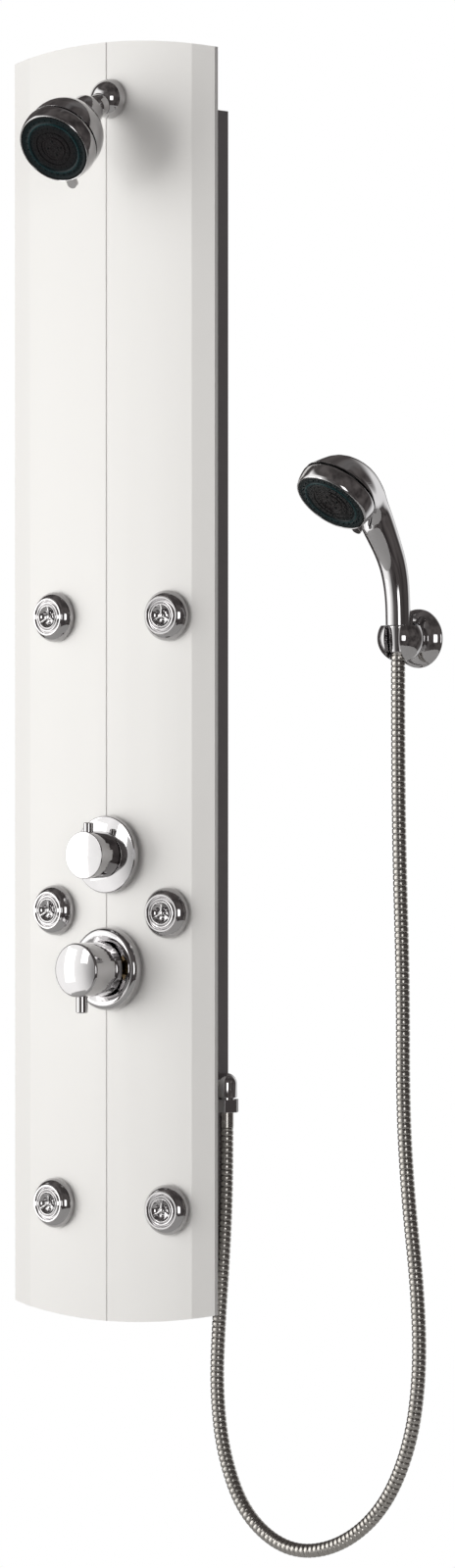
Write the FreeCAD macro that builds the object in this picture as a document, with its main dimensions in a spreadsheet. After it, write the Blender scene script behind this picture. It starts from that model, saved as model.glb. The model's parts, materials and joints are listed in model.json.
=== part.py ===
import FreeCAD, Part
import math
import os
from types import SimpleNamespace

import Sketcher
from FreeCAD import Placement, Rotation, Vector

# A wall-hung shower panel column. Lengths in millimetres, angles in degrees.
# X runs to the right, Y into the wall, Z up. Y = 0 is the wall, X = 0 the seam of the panel, and
# Z = 0 the line of the upper wall rail's screws. Heights below are measured from the panel's lowest
# point, and depths from the wall towards the room.

SIZES = dict(
    # front panel
    panel_height=1300,
    panel_width=262,
    end_rise=12.5,
    bow=5.8,
    bevel_width=25,
    bevel_depth=5.8,
    edge_return=5,
    panel_skin=2,
    seam_gap=0.3,
    seam_chamfer=0.7,
    tongue_reach=8,
    tongue_root=10,
    tongue_wall=1.5,
    rib_width=5,
    rib_inset=7,
    # back box and its hanging
    box_width=210,
    box_depth=50,
    box_bottom=40,
    sheet_wall=1.5,
    rail_flange=15,
    rail_lip=12,
    cap_flange=15,
    hang_height=1150,
    lower_hang_height=150,
    wall_rail_width=160,
    wall_rail_hole=3.25,
    wall_rail_spacing=120,
    # panel screws
    screw_radius=1.45,
    screw_head_radius=3.2,
    screw_head_height=2.2,
    screw_grip=8.5,
    screw_count=6,
    screw_first=90,
    screw_pitch=216,
    # line of the valves and the arm, right of the seam
    fitting_line=5,
    # shower arm
    arm_height=1242,
    arm_radius=11.4,
    arm_bore=6.5,
    arm_neck=8,
    neck_length=14.5,
    arm_cone=4,
    neck_bore=4.5,
    arm_reach=37,
    arm_drop=15,
    arm_bend=15,
    arm_tail=20,
    ball_radius=13.6,
    bell_radius=20.3,
    bell_wall=2,
    arm_elbow_radius=13.2,
    arm_elbow_drop=26,
    # shower head
    head_tilt=35,
    head_swing=7,
    head_length=76,
    collar_radius=17.2,
    head_radius=39.3,
    head_wall=2.4,
    ring_length=16,
    ring_gap=2.5,
    face_radius=36.3,
    face_ring=27.5,
    ring_clearance=0.2,
    head_tab_reach=51,
    head_tab_back=8.5,
    handset_tab_reach=47,
    handset_tab_back=2.5,
    tab_width=10,
    tab_thickness=5,
    # body jets
    jet_column=73,
    jet_height=417,
    jet_pitch=300,
    jet_rim=25.6,
    jet_front=14,
    jet_ring=18.7,
    jet_ball=14,
    jet_tail=14,
    jet_tail_bore=5,
    jet_nut=17,
    # valves and knobs
    valve_spread=58,
    barrel_radius=23,
    barrel_back=12,
    neck_radius=17,
    neck_reach=7,
    cartridge_radius=8.9,
    shaft_radius=5,
    temperature_flange_radius=39.3,
    temperature_knob_radius=24,
    temperature_knob_front=42.7,
    temperature_knob_back=14,
    button_place=34.9,
    button_radius=5,
    button_rise=9,
    button_length=17,
    button_travel=3,
    diverter_flange_radius=42.2,
    diverter_knob_radius=27.4,
    diverter_knob_front=56,
    diverter_knob_back=13.6,
    diverter_dome=4,
    lever_place=45.4,
    lever_radius=6,
    lever_reach=16.2,
    lever_seat=8,
    inlet_spread=50,
    inlet_depth=20,
    inlet_radius=10.3,
    inlet_bore=6.5,
    inlet_length=35,
    inlet_thread=24,
    thread_relief=0.8,
    crossbar_radius=9,
    # pipes
    pipe_radius=7,
    feed_radius=6,
    pipe_wall=1,
    pipe_bend=17,
    link_depth=27,
    riser_depth=38,
    feed_depth=40,
    riser_offset=35,
    port_step=11,
    boss_wall=2,
    socket_depth=12,
    running_gap=0.05,
    # outlet, hose and holder
    outlet_height=244.5,
    outlet_x=124,
    outlet_depth=27,
    outlet_radius=10.6,
    outlet_drop=14,
    outlet_thread=10.2,
    outlet_collar=13,
    outlet_spigot=7.8,
    nut_radius=13,
    nut_gap=1.8,
    nut_length=13,
    ferrule_radius=7.15,
    ferrule_length=16,
    hose_radius=7,
    hose_bore=4.2,
    cone_top=11.4,
    cone_bottom=8.3,
    cone_length=27,
    holder_x=344.6,
    holder_height=692,
    holder_depth=30,
    holder_ball=23.5,
    holder_flange=29,
    holder_slot=17,
    holder_slot_turn=14,
    holder_neck=9,
    socket_gap=0.35,
    # handset
    handset_x=344.6,
    handset_depth=35,
    handset_height=704.8,
    handset_turn=-10.9,
    handset_face_reach=89.5,
    handset_face_rise=117.7,
    handset_face_tilt=49,
    handset_dome_plane=19.5,
    handle_wall=3,
    handle_radius=12.2,
)


class Size:
    """A length or an angle: its number, and the sheet expression that gives it."""

    def __init__(self, value, text):
        self.value = value
        self.text = text

    def __add__(self, other):
        other = as_size(other)
        return Size(self.value + other.value, f"({self.text} + {other.text})")

    def __sub__(self, other):
        other = as_size(other)
        return Size(self.value - other.value, f"({self.text} - {other.text})")

    def __mul__(self, other):
        other = as_size(other)
        return Size(self.value * other.value, f"({self.text} * {other.text})")

    def __truediv__(self, other):
        other = as_size(other)
        return Size(self.value / other.value, f"({self.text} / {other.text})")

    def __radd__(self, other):
        return as_size(other) + self

    def __rsub__(self, other):
        return as_size(other) - self

    def __rmul__(self, other):
        return as_size(other) * self

    def __neg__(self):
        return as_size(0) - self


def as_size(number):
    if isinstance(number, Size):
        return number
    return Size(float(number), f"{float(number):.9g}")


def root(number):
    number = as_size(number)
    return Size(math.sqrt(number.value), f"sqrt({number.text})")


def sine(angle):
    angle = as_size(angle)
    return Size(math.sin(math.radians(angle.value)), f"sin({angle.text})")


def cosine(angle):
    angle = as_size(angle)
    return Size(math.cos(math.radians(angle.value)), f"cos({angle.text})")


def chord_height(radius, half_chord):
    """Distance from a circle's centre to a chord."""
    return root(radius * radius - half_chord * half_chord)


document = FreeCAD.newDocument("ShowerPanel")
sheet = document.addObject("Spreadsheet::Sheet", "Sizes")
for row, (name, number) in enumerate(SIZES.items(), start=1):
    sheet.set(f"A{row}", name)
    sheet.set(f"B{row}", str(number))
    sheet.setAlias(f"B{row}", name)
document.recompute()
s = SimpleNamespace(**{name: Size(float(number), f"Sizes.{name}") for name, number in SIZES.items()})

PIECES = []
CLEAR = 0.2

# Derived places: depths from the wall, and heights from the upper rail's screws.
HALF_WIDTH = s.panel_width / 2
SHOULDER = HALF_WIDTH - s.bevel_width
EDGE_DEPTH = s.box_depth + s.edge_return
SHOULDER_DEPTH = EDGE_DEPTH + s.bevel_depth
FACE_DEPTH = SHOULDER_DEPTH + s.bow
BOW_RADIUS = (SHOULDER * SHOULDER + s.bow * s.bow) / (2 * s.bow)
BOX_HALF = s.box_width / 2
BOX_TOP = s.arm_height - s.arm_elbow_radius - CLEAR
RIB_X = BOX_HALF - s.rib_inset
BARREL_FRONT = FACE_DEPTH - s.panel_skin - s.tongue_wall - 2 * CLEAR
TEMPERATURE_HEIGHT = s.jet_height + s.valve_spread
DIVERTER_HEIGHT = s.jet_height - s.valve_spread


def level(height):
    """Z of a height that is measured from the panel's lowest point."""
    return as_size(height) - s.hang_height


def surface_depth(x):
    """Depth of the bowed face at a distance from the seam."""
    return FACE_DEPTH - BOW_RADIUS + chord_height(BOW_RADIUS, x)


def skin_depth(x):
    """Depth of the inside of the bowed face."""
    return FACE_DEPTH - BOW_RADIUS + chord_height(BOW_RADIUS - s.panel_skin, x)


def bind(thing, path, number):
    number = as_size(number)
    if "Sizes." in number.text:
        thing.setExpression(path, number.text)


def arc(x, y, radius, side):
    """An outline's point before an arc whose centre lies left (+1) or right (-1) of the travel."""
    return (x, y, radius, side)


def arc_edge(start, end, radius, side):
    """The arc of an outline, and which of its ends comes first."""
    middle = (start + end) * 0.5
    along = end - start
    across = Vector(-along.y, along.x, 0) * (side / along.Length)
    height = math.sqrt(max(radius * radius - along.Length ** 2 / 4, 0))
    centre = middle + across * height
    first = math.atan2(start.y - centre.y, start.x - centre.x)
    last = math.atan2(end.y - centre.y, end.x - centre.x)
    circle = Part.Circle(centre, Vector(0, 0, 1), radius)
    if side > 0:
        return Part.ArcOfCircle(circle, first, last), 1, 2
    return Part.ArcOfCircle(circle, last, first), 2, 1


def draw_outline(sketch, points, closed=True):
    """Draws straight edges and arcs from point to point and pins every point to the sheet."""
    corners = [Vector(as_size(p[0]).value, as_size(p[1]).value, 0) for p in points]
    count = len(points) if closed else len(points) - 1
    base = sketch.GeometryCount
    ends = []
    for index in range(count):
        start = corners[index]
        end = corners[(index + 1) % len(points)]
        if len(points[index]) == 4:
            _, _, radius, side = points[index]
            edge, first, last = arc_edge(start, end, as_size(radius).value, side)
        else:
            edge, first, last = Part.LineSegment(start, end), 1, 2
        sketch.addGeometry(edge, False)
        ends.append((first, last))
    for index in range(count if closed else count - 1):
        following = (index + 1) % count
        pair = (base + index, ends[index][1], base + following, ends[following][0])
        sketch.addConstraint(Sketcher.Constraint("Coincident", *pair))
    for index in range(count):
        pin(sketch, base + index, ends[index][0], points[index][0], points[index][1])
        if len(points[index]) == 4:
            radius = as_size(points[index][2])
            place = sketch.addConstraint(Sketcher.Constraint("Radius", base + index, radius.value))
            bind(sketch, f"Constraints[{place}]", radius)
    if not closed:
        pin(sketch, base + count - 1, ends[-1][1], points[-1][0], points[-1][1])


def draw_circle(sketch, x, y, radius):
    centre = Vector(as_size(x).value, as_size(y).value, 0)
    circle = Part.Circle(centre, Vector(0, 0, 1), as_size(radius).value)
    index = sketch.addGeometry(circle, False)
    pin(sketch, index, 3, x, y)
    place = sketch.addConstraint(Sketcher.Constraint("Radius", index, as_size(radius).value))
    bind(sketch, f"Constraints[{place}]", radius)


def pin(sketch, edge, end, x, y):
    for kind, number in (("DistanceX", x), ("DistanceY", y)):
        number = as_size(number)
        place = sketch.addConstraint(Sketcher.Constraint(kind, edge, end, number.value))
        bind(sketch, f"Constraints[{place}]", number)


def keep(thing, label):
    thing.Label = label
    PIECES.append(thing)
    return thing


def place(thing, x, y, z, turn=None):
    """Puts an object at x, y, z, bound to the sheet, with a turn."""
    base = [as_size(number) for number in (x, y, z)]
    thing.Placement = Placement(Vector(*[number.value for number in base]), turn or Rotation())
    for axis, number in zip("xyz", base):
        bind(thing, f".Placement.Base.{axis}", number)


class Piece:
    """One sub-part built as a body of sketches and features."""

    def __init__(self, label, x=0, y=0, z=0, turn=None):
        self.body = keep(document.addObject("PartDesign::Body", label), label)
        self.label = label
        place(self.body, x, y, z, turn)

    def sketch(self, plane, offset=0, rise=0, turn=None):
        drawing = self.body.newObject("Sketcher::SketchObject", f"{self.label}_sketch")
        planes = self.body.Origin.OriginFeatures
        support = next(feature for feature in planes if feature.Role == f"{plane}_Plane")
        drawing.AttachmentSupport = [(support, "")]
        drawing.MapMode = "FlatFace"
        offset = as_size(offset)
        rise = as_size(rise)
        drawing.AttachmentOffset = Placement(Vector(0, rise.value, offset.value), turn or Rotation())
        bind(drawing, ".AttachmentOffset.Base.y", rise)
        bind(drawing, ".AttachmentOffset.Base.z", offset)
        return drawing

    def feature(self, kind, profile):
        made = self.body.newObject(f"PartDesign::{kind}", f"{self.label}_{kind.lower()}")
        made.Profile = profile
        return made

    def revolve(self, plane, points, axis="V_Axis", offset=0):
        drawing = self.sketch(plane, offset)
        draw_outline(drawing, points)
        made = self.feature("Revolution", drawing)
        made.ReferenceAxis = (drawing, [axis])
        made.Angle = 360
        return made

    def pad(self, plane, offset, length, outlines=(), circles=(), centred=False, back=False, rise=0,
            turn=None):
        drawing = self.sketch(plane, offset, rise, turn)
        self.fill(drawing, outlines, circles)
        made = self.feature("Pad", drawing)
        made.Length = as_size(length).value
        bind(made, "Length", length)
        made.Midplane = centred
        made.Reversed = back
        return made

    def cut(self, plane, offset, length, outlines=(), circles=(), centred=False, ahead=False, rise=0,
            turn=None):
        """Cuts a pocket, and makes sure that it took something away."""
        document.recompute()
        before = self.body.Shape.Volume
        drawing = self.sketch(plane, offset, rise, turn)
        self.fill(drawing, outlines, circles)
        made = self.feature("Pocket", drawing)
        made.Length = as_size(length).value
        bind(made, "Length", length)
        made.Midplane = centred
        made.Reversed = ahead
        document.recompute()
        if self.body.Shape.Volume > before - 1:
            raise ValueError(f"a pocket of {self.label} cuts nothing")
        return made

    def fill(self, drawing, outlines, circles):
        for points in outlines:
            draw_outline(drawing, points)
        for x, y, radius in circles:
            draw_circle(drawing, x, y, radius)

    def pipe(self, path_plane, path, path_offset, plane, offset, circles):
        """A round pipe swept along an open outline."""
        spine = self.sketch(path_plane, path_offset)
        draw_outline(spine, path, closed=False)
        profile = self.sketch(plane, offset)
        self.fill(profile, (), circles)
        document.recompute()
        made = self.feature("AdditivePipe", profile)
        made.Spine = (spine, [f"Edge{index}" for index in range(1, len(path))])
        return made


def rectangle(left, right, low, high):
    return [(left, low), (right, low), (right, high), (left, high)]


def hexagon(x, y, radius):
    return [(x + radius * cosine(60 * step), y + radius * sine(60 * step)) for step in range(6)]


def front(reach):
    """Y of a place in front of the panel's face."""
    return -(FACE_DEPTH + reach)


# ---------------------------------------------------------------- front panel

def jet_x(side):
    return s.fitting_line + side * s.jet_column


def jet_heights():
    return [s.jet_height + step * s.jet_pitch for step in (1, 0, -1)]


def screw_heights():
    return [s.screw_first + step * s.screw_pitch for step in range(int(s.screw_count.value))]


def panel_section(side):
    """Section of one half seen from above, drawn outwards from the seam."""
    edge = s.seam_gap / 2
    bevel_drop = s.panel_skin * root(1 + (s.bevel_depth / s.bevel_width) * (s.bevel_depth / s.bevel_width))
    inner_edge = EDGE_DEPTH + s.panel_skin * s.bevel_depth / s.bevel_width - bevel_drop
    rib_out = RIB_X + s.rib_width / 2
    rib_in = RIB_X - s.rib_width / 2
    points = [
        (edge, -(FACE_DEPTH - s.seam_chamfer)),
        arc(edge + s.seam_chamfer, -surface_depth(edge + s.seam_chamfer), BOW_RADIUS, 1),
        (SHOULDER, -SHOULDER_DEPTH),
        (HALF_WIDTH, -EDGE_DEPTH),
        (HALF_WIDTH, -s.box_depth),
        (HALF_WIDTH - s.panel_skin, -s.box_depth),
        (HALF_WIDTH - s.panel_skin, -inner_edge),
        arc(SHOULDER, -skin_depth(SHOULDER), BOW_RADIUS - s.panel_skin, -1),
        (rib_out, -skin_depth(rib_out)),
        (rib_out, -s.box_depth),
        (rib_in, -s.box_depth),
        arc(rib_in, -skin_depth(rib_in), BOW_RADIUS - s.panel_skin, -1),
    ]
    if side < 0:
        root_depth = skin_depth(s.tongue_root)
        tongue_front = FACE_DEPTH - s.panel_skin - CLEAR
        points += [
            (s.tongue_root, -root_depth),
            (s.tongue_root, -(tongue_front - s.tongue_wall)),
            (-s.tongue_reach, -(tongue_front - s.tongue_wall)),
            (-s.tongue_reach, -tongue_front),
            (edge, -tongue_front),
        ]
    else:
        points += [(edge, -skin_depth(edge))]
    return [(side * p[0], p[1]) if len(p) == 2 else arc(side * p[0], p[1], p[2], side * p[3])
            for p in points]


def end_cut(sign):
    """The region beyond the curved top (+1) or bottom (-1) edge."""
    end_radius = (HALF_WIDTH * HALF_WIDTH + s.end_rise * s.end_rise) / (2 * s.end_rise)
    reach = HALF_WIDTH + 10
    middle = level(s.panel_height) if sign > 0 else level(0)
    corner = middle - sign * (end_radius - chord_height(end_radius, reach))
    beyond = middle + sign * 20
    return [arc(-reach, corner, end_radius, -sign), (reach, corner), (reach, beyond), (-reach, beyond)]


def panel_half(label, side):
    half = Piece(label)
    half.pad("XY", level(0), s.panel_height, [panel_section(side)])
    half.cut("XZ", 0, 300, [end_cut(1)], centred=True)
    half.cut("XZ", 0, 300, [end_cut(-1)], centred=True)
    holes = [(jet_x(side), level(height), s.jet_tail + 0.4) for height in jet_heights()]
    for height, radius in ((s.arm_height, s.arm_radius + 1.2), (TEMPERATURE_HEIGHT, s.neck_radius),
                           (DIVERTER_HEIGHT, s.neck_radius)):
        holes.append((s.fitting_line, level(height), radius + 0.4))
    half.cut("XZ", 0, 300, circles=holes, centred=True)
    screws = [(side * RIB_X, level(height), s.screw_radius + 0.05) for height in screw_heights()]
    half.cut("XZ", s.box_depth, s.screw_grip, circles=screws, ahead=True)


# ---------------------------------------------------------------- back box

def side_rail(label, side):
    """A folded side wall with a flange behind the panel and a lip at the wall."""
    inner = BOX_HALF - s.sheet_wall
    section = [
        (BOX_HALF, 0),
        (BOX_HALF, -s.box_depth),
        (BOX_HALF - s.rail_flange, -s.box_depth),
        (BOX_HALF - s.rail_flange, -(s.box_depth - s.sheet_wall)),
        (inner, -(s.box_depth - s.sheet_wall)),
        (inner, -s.sheet_wall),
        (BOX_HALF - s.rail_lip, -s.sheet_wall),
        (BOX_HALF - s.rail_lip, 0),
    ]
    rail = Piece(label)
    length = BOX_TOP - s.box_bottom - 2 * s.sheet_wall
    rail.pad("XY", level(s.box_bottom + s.sheet_wall), length, [[(side * x, y) for x, y in section]])
    screws = [(side * RIB_X, level(height), s.screw_radius + 0.3) for height in screw_heights()]
    rail.cut("XZ", s.box_depth, 2 * s.sheet_wall, circles=screws)
    if side > 0:
        hole = (-s.outlet_depth, level(s.outlet_height), s.outlet_thread + 0.3)
        rail.cut("YZ", BOX_HALF - 5, 10, circles=[hole], ahead=True)


def end_cap(label, sign):
    """A cap plate with two flanges that reach into the box."""
    end = BOX_TOP if sign > 0 else s.box_bottom
    plate = rectangle(-BOX_HALF, BOX_HALF, -s.box_depth, 0)
    front_half = BOX_HALF - s.rail_flange - CLEAR
    back_half = BOX_HALF - s.rail_lip - CLEAR
    flanges = [rectangle(-front_half, front_half, -s.box_depth, -(s.box_depth - s.sheet_wall)),
               rectangle(-back_half, back_half, -s.sheet_wall, 0)]
    cap = Piece(label)
    cap.pad("XY", level(end), s.sheet_wall, [plate], back=sign > 0)
    cap.pad("XY", level(end), s.cap_flange, flanges[:1], back=sign > 0)
    cap.pad("XY", level(end), s.cap_flange, flanges[1:], back=sign > 0)
    if sign > 0:
        hole = (s.fitting_line, -s.riser_depth, s.pipe_radius + s.boss_wall + 2 * CLEAR)
        cap.cut("XY", level(end), 2 * s.sheet_wall, circles=[hole])


def wall_rail(label, height):
    """A rail screwed to the wall, with an upturned lip for the hanger's tongue."""
    profile = [(0, -16), (-2, -16), (-2, 4), (-6, 4), (-6, 20), (-4.5, 20), (-4.5, 5.5), (0, 5.5)]
    rail = Piece(label, z=level(height))
    rail.pad("YZ", 0, s.wall_rail_width, [profile], centred=True)
    spacing = s.wall_rail_spacing / 2
    rail.cut("XZ", 0, 20, circles=[(side * spacing, 0, s.wall_rail_hole) for side in (-1, 1)], centred=True)


def hanger(label, height):
    """A cross bar of the box whose tongue drops behind the wall rail's lip."""
    profile = [(-2.8, 5.7), (-4.3, 5.7), (-4.3, 22.5), (-7.5, 22.5),
               (-7.5, -30), (-9, -30), (-9, 24), (-2.8, 24)]
    bar = Piece(label, z=level(height))
    bar.pad("YZ", 0, s.box_width - 2 * s.sheet_wall - CLEAR, [profile], centred=True)


def turned_shape(points):
    """A solid turned about Z from (radius, height) points, for parts that stand in groups."""
    corners = [Vector(as_size(r).value, 0, as_size(z).value) for r, z in points]
    face = Part.Face(Part.makePolygon(corners + corners[:1]))
    return face.revolve(Vector(), Vector(0, 0, 1), 360)


def feature_of(label, shape):
    thing = keep(document.addObject("Part::Feature", label), label)
    thing.Shape = shape
    thing.Placement = Placement()
    return thing


def panel_screws():
    """Screws from inside the box through the rails' flanges into the panel's ribs."""
    head = s.screw_head_height
    rim = s.screw_head_radius
    shank = s.screw_radius
    profile = [(0, -head), (rim - 0.6, -head), (rim, -head + 0.6), (rim, 0),
               (shank, 0), (shank, s.screw_grip), (0, s.screw_grip)]
    screws = []
    for side in (-1, 1):
        for height in screw_heights():
            screw = turned_shape(profile)
            screw.rotate(Vector(), Vector(1, 0, 0), 90)
            depth = s.box_depth - s.sheet_wall
            screw.translate(Vector(side * RIB_X.value, -depth.value, level(height).value))
            screws.append(screw)
    feature_of("panel_screws", Part.makeCompound(screws))


# ---------------------------------------------------------------- shower arm

ARM_SLOPE = root(s.arm_reach * s.arm_reach + s.arm_drop * s.arm_drop)
ARM_TURN = Rotation(Vector(1, 0, 0), math.degrees(math.atan2(s.arm_drop.value, s.arm_reach.value)))
BALL_DEPTH = FACE_DEPTH + s.arm_reach
BALL_HEIGHT = s.arm_height - s.arm_drop


def arm_flange():
    """A hollow bell on the panel that hides the hole of the arm."""
    outer = s.bell_radius
    inner = outer - s.bell_wall
    back = front(CLEAR)
    bell = Piece("arm_flange", s.fitting_line, 0, level(s.arm_height))
    bell.revolve("XY", [arc(outer, back, outer, -1), (0, back - outer), arc(0, back - inner, inner, 1),
                        (inner, back)])
    bell.cut("XZ", FACE_DEPTH, 80, circles=[(0, 0, s.arm_radius + CLEAR)], centred=True, turn=ARM_TURN)


def shower_arm():
    """A bent pipe from behind the panel to the ball that carries the head."""
    along = s.arm_reach / ARM_SLOPE
    down = s.arm_drop / ARM_SLOPE
    tangent = s.arm_bend * (1 - along) / down
    tail = FACE_DEPTH - s.arm_tail
    end = ARM_SLOPE - s.neck_length
    path = [
        (-tail, 0),
        arc(-(FACE_DEPTH - tangent), 0, s.arm_bend, 1),
        (-(FACE_DEPTH + tangent * along), -(tangent * down)),
        (-(FACE_DEPTH + end * along), -(end * down)),
    ]
    arm = Piece("shower_arm", s.fitting_line, 0, level(s.arm_height))
    arm.pipe("YZ", path, 0, "XZ", tail, [(0, 0, s.arm_radius), (0, 0, s.arm_bore)])
    # a solid end wall, then the slimmer neck that leaves room for the head to tilt
    wall = end - 3
    arm.pad("XZ", FACE_DEPTH + wall * along, 3, circles=[(0, 0, s.arm_radius)],
            rise=-(wall * down), turn=ARM_TURN)
    # a cone in front of the wall, drawn on an axis that runs back from the ball
    back_turn = Rotation(Vector(0, 0, 1), math.degrees(math.atan2(down.value, along.value)) - 90)
    drawing = arm.sketch("YZ")
    drawing.AttachmentOffset = Placement(Vector(-BALL_DEPTH.value, -s.arm_drop.value, 0), back_turn)
    bind(drawing, ".AttachmentOffset.Base.x", -BALL_DEPTH)
    bind(drawing, ".AttachmentOffset.Base.y", -s.arm_drop)
    foot = s.neck_length
    tip = foot - s.arm_cone
    waist = s.arm_neck + 0.4
    draw_outline(drawing, [(0, foot), (s.arm_radius, foot), (waist, tip), (0, tip)])
    cone = arm.feature("Revolution", drawing)
    cone.ReferenceAxis = (drawing, ["V_Axis"])
    cone.Angle = 360
    arm.pad("XZ", FACE_DEPTH + wall * along, ARM_SLOPE - wall, circles=[(0, 0, s.arm_neck)],
            rise=-(wall * down), turn=ARM_TURN)
    ball = arm.body.newObject("PartDesign::AdditiveSphere", "arm_ball")
    planes = arm.body.Origin.OriginFeatures
    ball.AttachmentSupport = [(next(p for p in planes if p.Role == "XY_Plane"), "")]
    ball.MapMode = "FlatFace"
    ball.Radius = s.ball_radius.value
    bind(ball, "Radius", s.ball_radius)
    ball.AttachmentOffset = Placement(Vector(0, -BALL_DEPTH.value, -s.arm_drop.value), Rotation())
    bind(ball, ".AttachmentOffset.Base.y", -BALL_DEPTH)
    bind(ball, ".AttachmentOffset.Base.z", -s.arm_drop)
    # the water way runs on through the neck and the ball
    arm.cut("XZ", FACE_DEPTH + (wall - 1) * along, ARM_SLOPE, circles=[(0, 0, s.neck_bore)], ahead=True,
            rise=-((wall - 1) * down), turn=ARM_TURN)


def arm_elbow():
    """The elbow behind the panel that joins the riser to the arm."""
    elbow = Piece("arm_elbow", s.fitting_line, 0, level(s.arm_height))
    back = s.riser_depth - s.pipe_radius - s.boss_wall
    elbow.pad("XZ", back, BARREL_FRONT - back, circles=[(0, 0, s.arm_elbow_radius)])
    socket = s.pipe_radius + s.boss_wall
    elbow.pad("XY", 0, s.arm_elbow_drop, circles=[(0, -s.riser_depth, socket)], back=True)
    tail = FACE_DEPTH - s.arm_tail - 2
    elbow.cut("XZ", tail, 60, circles=[(0, 0, s.arm_radius + s.running_gap)], ahead=True)
    elbow.cut("XY", -s.arm_elbow_drop, s.socket_depth, ahead=True,
              circles=[(0, -s.riser_depth, s.pipe_radius + s.running_gap)])


# ---------------------------------------------------------------- spray heads

HEAD_TURN = Rotation(Vector(0, 0, 1), s.head_swing.value) * Rotation(Vector(1, 0, 0), 90 + s.head_tilt.value)
RING_OUTER = s.face_radius + s.ring_clearance
GAP_BACK = s.ring_length + s.ring_gap


def zone(radius, height):
    """Radius of a sphere about the origin at a height."""
    return root(radius * radius - height * height)


def head_at(label, ahead=0):
    """A body on the head's axis, some way ahead of the ball's centre."""
    ahead = as_size(ahead)
    level_part = ahead * cosine(s.head_tilt)
    return Piece(
        label,
        s.fitting_line + level_part * sine(s.head_swing),
        -(BALL_DEPTH + level_part * cosine(s.head_swing)),
        level(BALL_HEIGHT) - ahead * sine(s.head_tilt),
        HEAD_TURN,
    )


SEAT_LOW = -5.3
SEAT_HIGH = 7.0
SEAT_INNER = s.ball_radius + 0.08
SEAT_OUTER = s.ball_radius + 1.0
COLLAR_CAVITY = SEAT_OUTER + 0.1
COLLAR_FRONT = 15.4


def head_ball_seat():
    """A slippery ring between the arm's ball and the collar."""
    seat = head_at("head_ball_seat")
    seat.revolve("XZ", [
        arc(zone(SEAT_INNER, SEAT_LOW), SEAT_LOW, SEAT_INNER, 1),
        (zone(SEAT_INNER, SEAT_HIGH), SEAT_HIGH),
        arc(zone(SEAT_OUTER, SEAT_HIGH), SEAT_HIGH, SEAT_OUTER, -1),
        (zone(SEAT_OUTER, SEAT_LOW), SEAT_LOW),
    ])


def head_collar():
    """The swivel nut that holds the head on the ball."""
    collar = head_at("head_collar")
    collar.revolve("XZ", [
        arc(zone(COLLAR_CAVITY, SEAT_LOW), SEAT_LOW, COLLAR_CAVITY, 1),
        (zone(COLLAR_CAVITY, SEAT_HIGH), SEAT_HIGH),
        (zone(COLLAR_CAVITY, SEAT_HIGH), SEAT_HIGH + 1.5),
        (s.collar_radius - 2, SEAT_HIGH + 1.5),
        (s.collar_radius - 2, COLLAR_FRONT),
        (s.collar_radius - 0.6, COLLAR_FRONT),
        (s.collar_radius, COLLAR_FRONT - 0.6),
        (s.collar_radius, -1.5),
        (s.collar_radius - 1.8, SEAT_LOW),
    ])


def head_shell():
    """The bell at the back of the shower head."""
    outer = s.head_radius
    inner = outer - s.head_wall
    gap = s.head_length - GAP_BACK
    middle = COLLAR_FRONT + CLEAR + chord_height(outer, s.collar_radius)
    floor = middle - chord_height(inner, 14)
    hub = s.collar_radius - 2 - 0.1
    shell = head_at("head_shell")
    shell.revolve("XZ", [
        (s.neck_bore, s.ball_radius + 0.6),
        (hub - 3.5, s.ball_radius + 0.6),
        (hub - 3.5, SEAT_HIGH + 2.2),
        (hub, SEAT_HIGH + 2.2),
        (hub, COLLAR_FRONT + CLEAR),
        arc(s.collar_radius, COLLAR_FRONT + CLEAR, outer, 1),
        (outer, middle),
        (outer, gap),
        (inner, gap),
        arc(inner, middle, inner, -1),
        (14, floor),
        (s.neck_bore, floor),
    ])


def spray_ring(piece, tab_reach, tab_back):
    """A turning chrome ring with a thumb tab some way back from the face plane."""
    length = s.ring_length
    piece.revolve("XZ", [
        (RING_OUTER, -length),
        (s.head_radius + 0.3, -length),
        arc(s.head_radius + 0.8, -(length - 1), 45, 1),
        (s.head_radius - 1.3, -0.8),
        (s.head_radius - 2.1, 0),
        (RING_OUTER, -0.4),
    ])
    half = s.tab_width / 2
    root_y = -(s.head_radius - 1.6)
    tip = -(tab_reach - 0.7 * half)
    tab = [(-half, root_y), arc(-half, tip, 1.06 * half, 1), (half, tip), (half, root_y)]
    piece.pad("XY", -(s.tab_thickness + tab_back), s.tab_thickness, [tab])


def spray_face(piece):
    """The dark face with its nozzle holes and the skirt that carries the ring."""
    plate = -4.3
    skirt = -(GAP_BACK + 0.4)
    outer = s.face_radius
    piece.revolve("XZ", [
        (0, plate),
        (outer - 2.8, plate),
        (outer - 2.8, skirt),
        (outer, skirt),
        (outer, -1.2),
        (outer - 1, -0.2),
        (s.face_ring, -0.2),
        (s.face_ring - 0.6, -0.8),
        (0, -0.8),
    ])
    outer_holes = [(31 * cosine(15 * step), 31 * sine(15 * step), 0.7) for step in range(24)]
    inner_holes = [(7.5 * cosine(45 + 90 * step), 7.5 * sine(45 + 90 * step), 1.2) for step in range(4)]
    piece.cut("XY", 0, 10, circles=outer_holes + inner_holes)


# ---------------------------------------------------------------- body jets

def jet_turn(side):
    lean = math.degrees(math.asin(jet_x(side).value / BOW_RADIUS.value))
    return Rotation(Vector(0, 0, 1), lean) * Rotation(Vector(1, 0, 0), 90)


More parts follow.
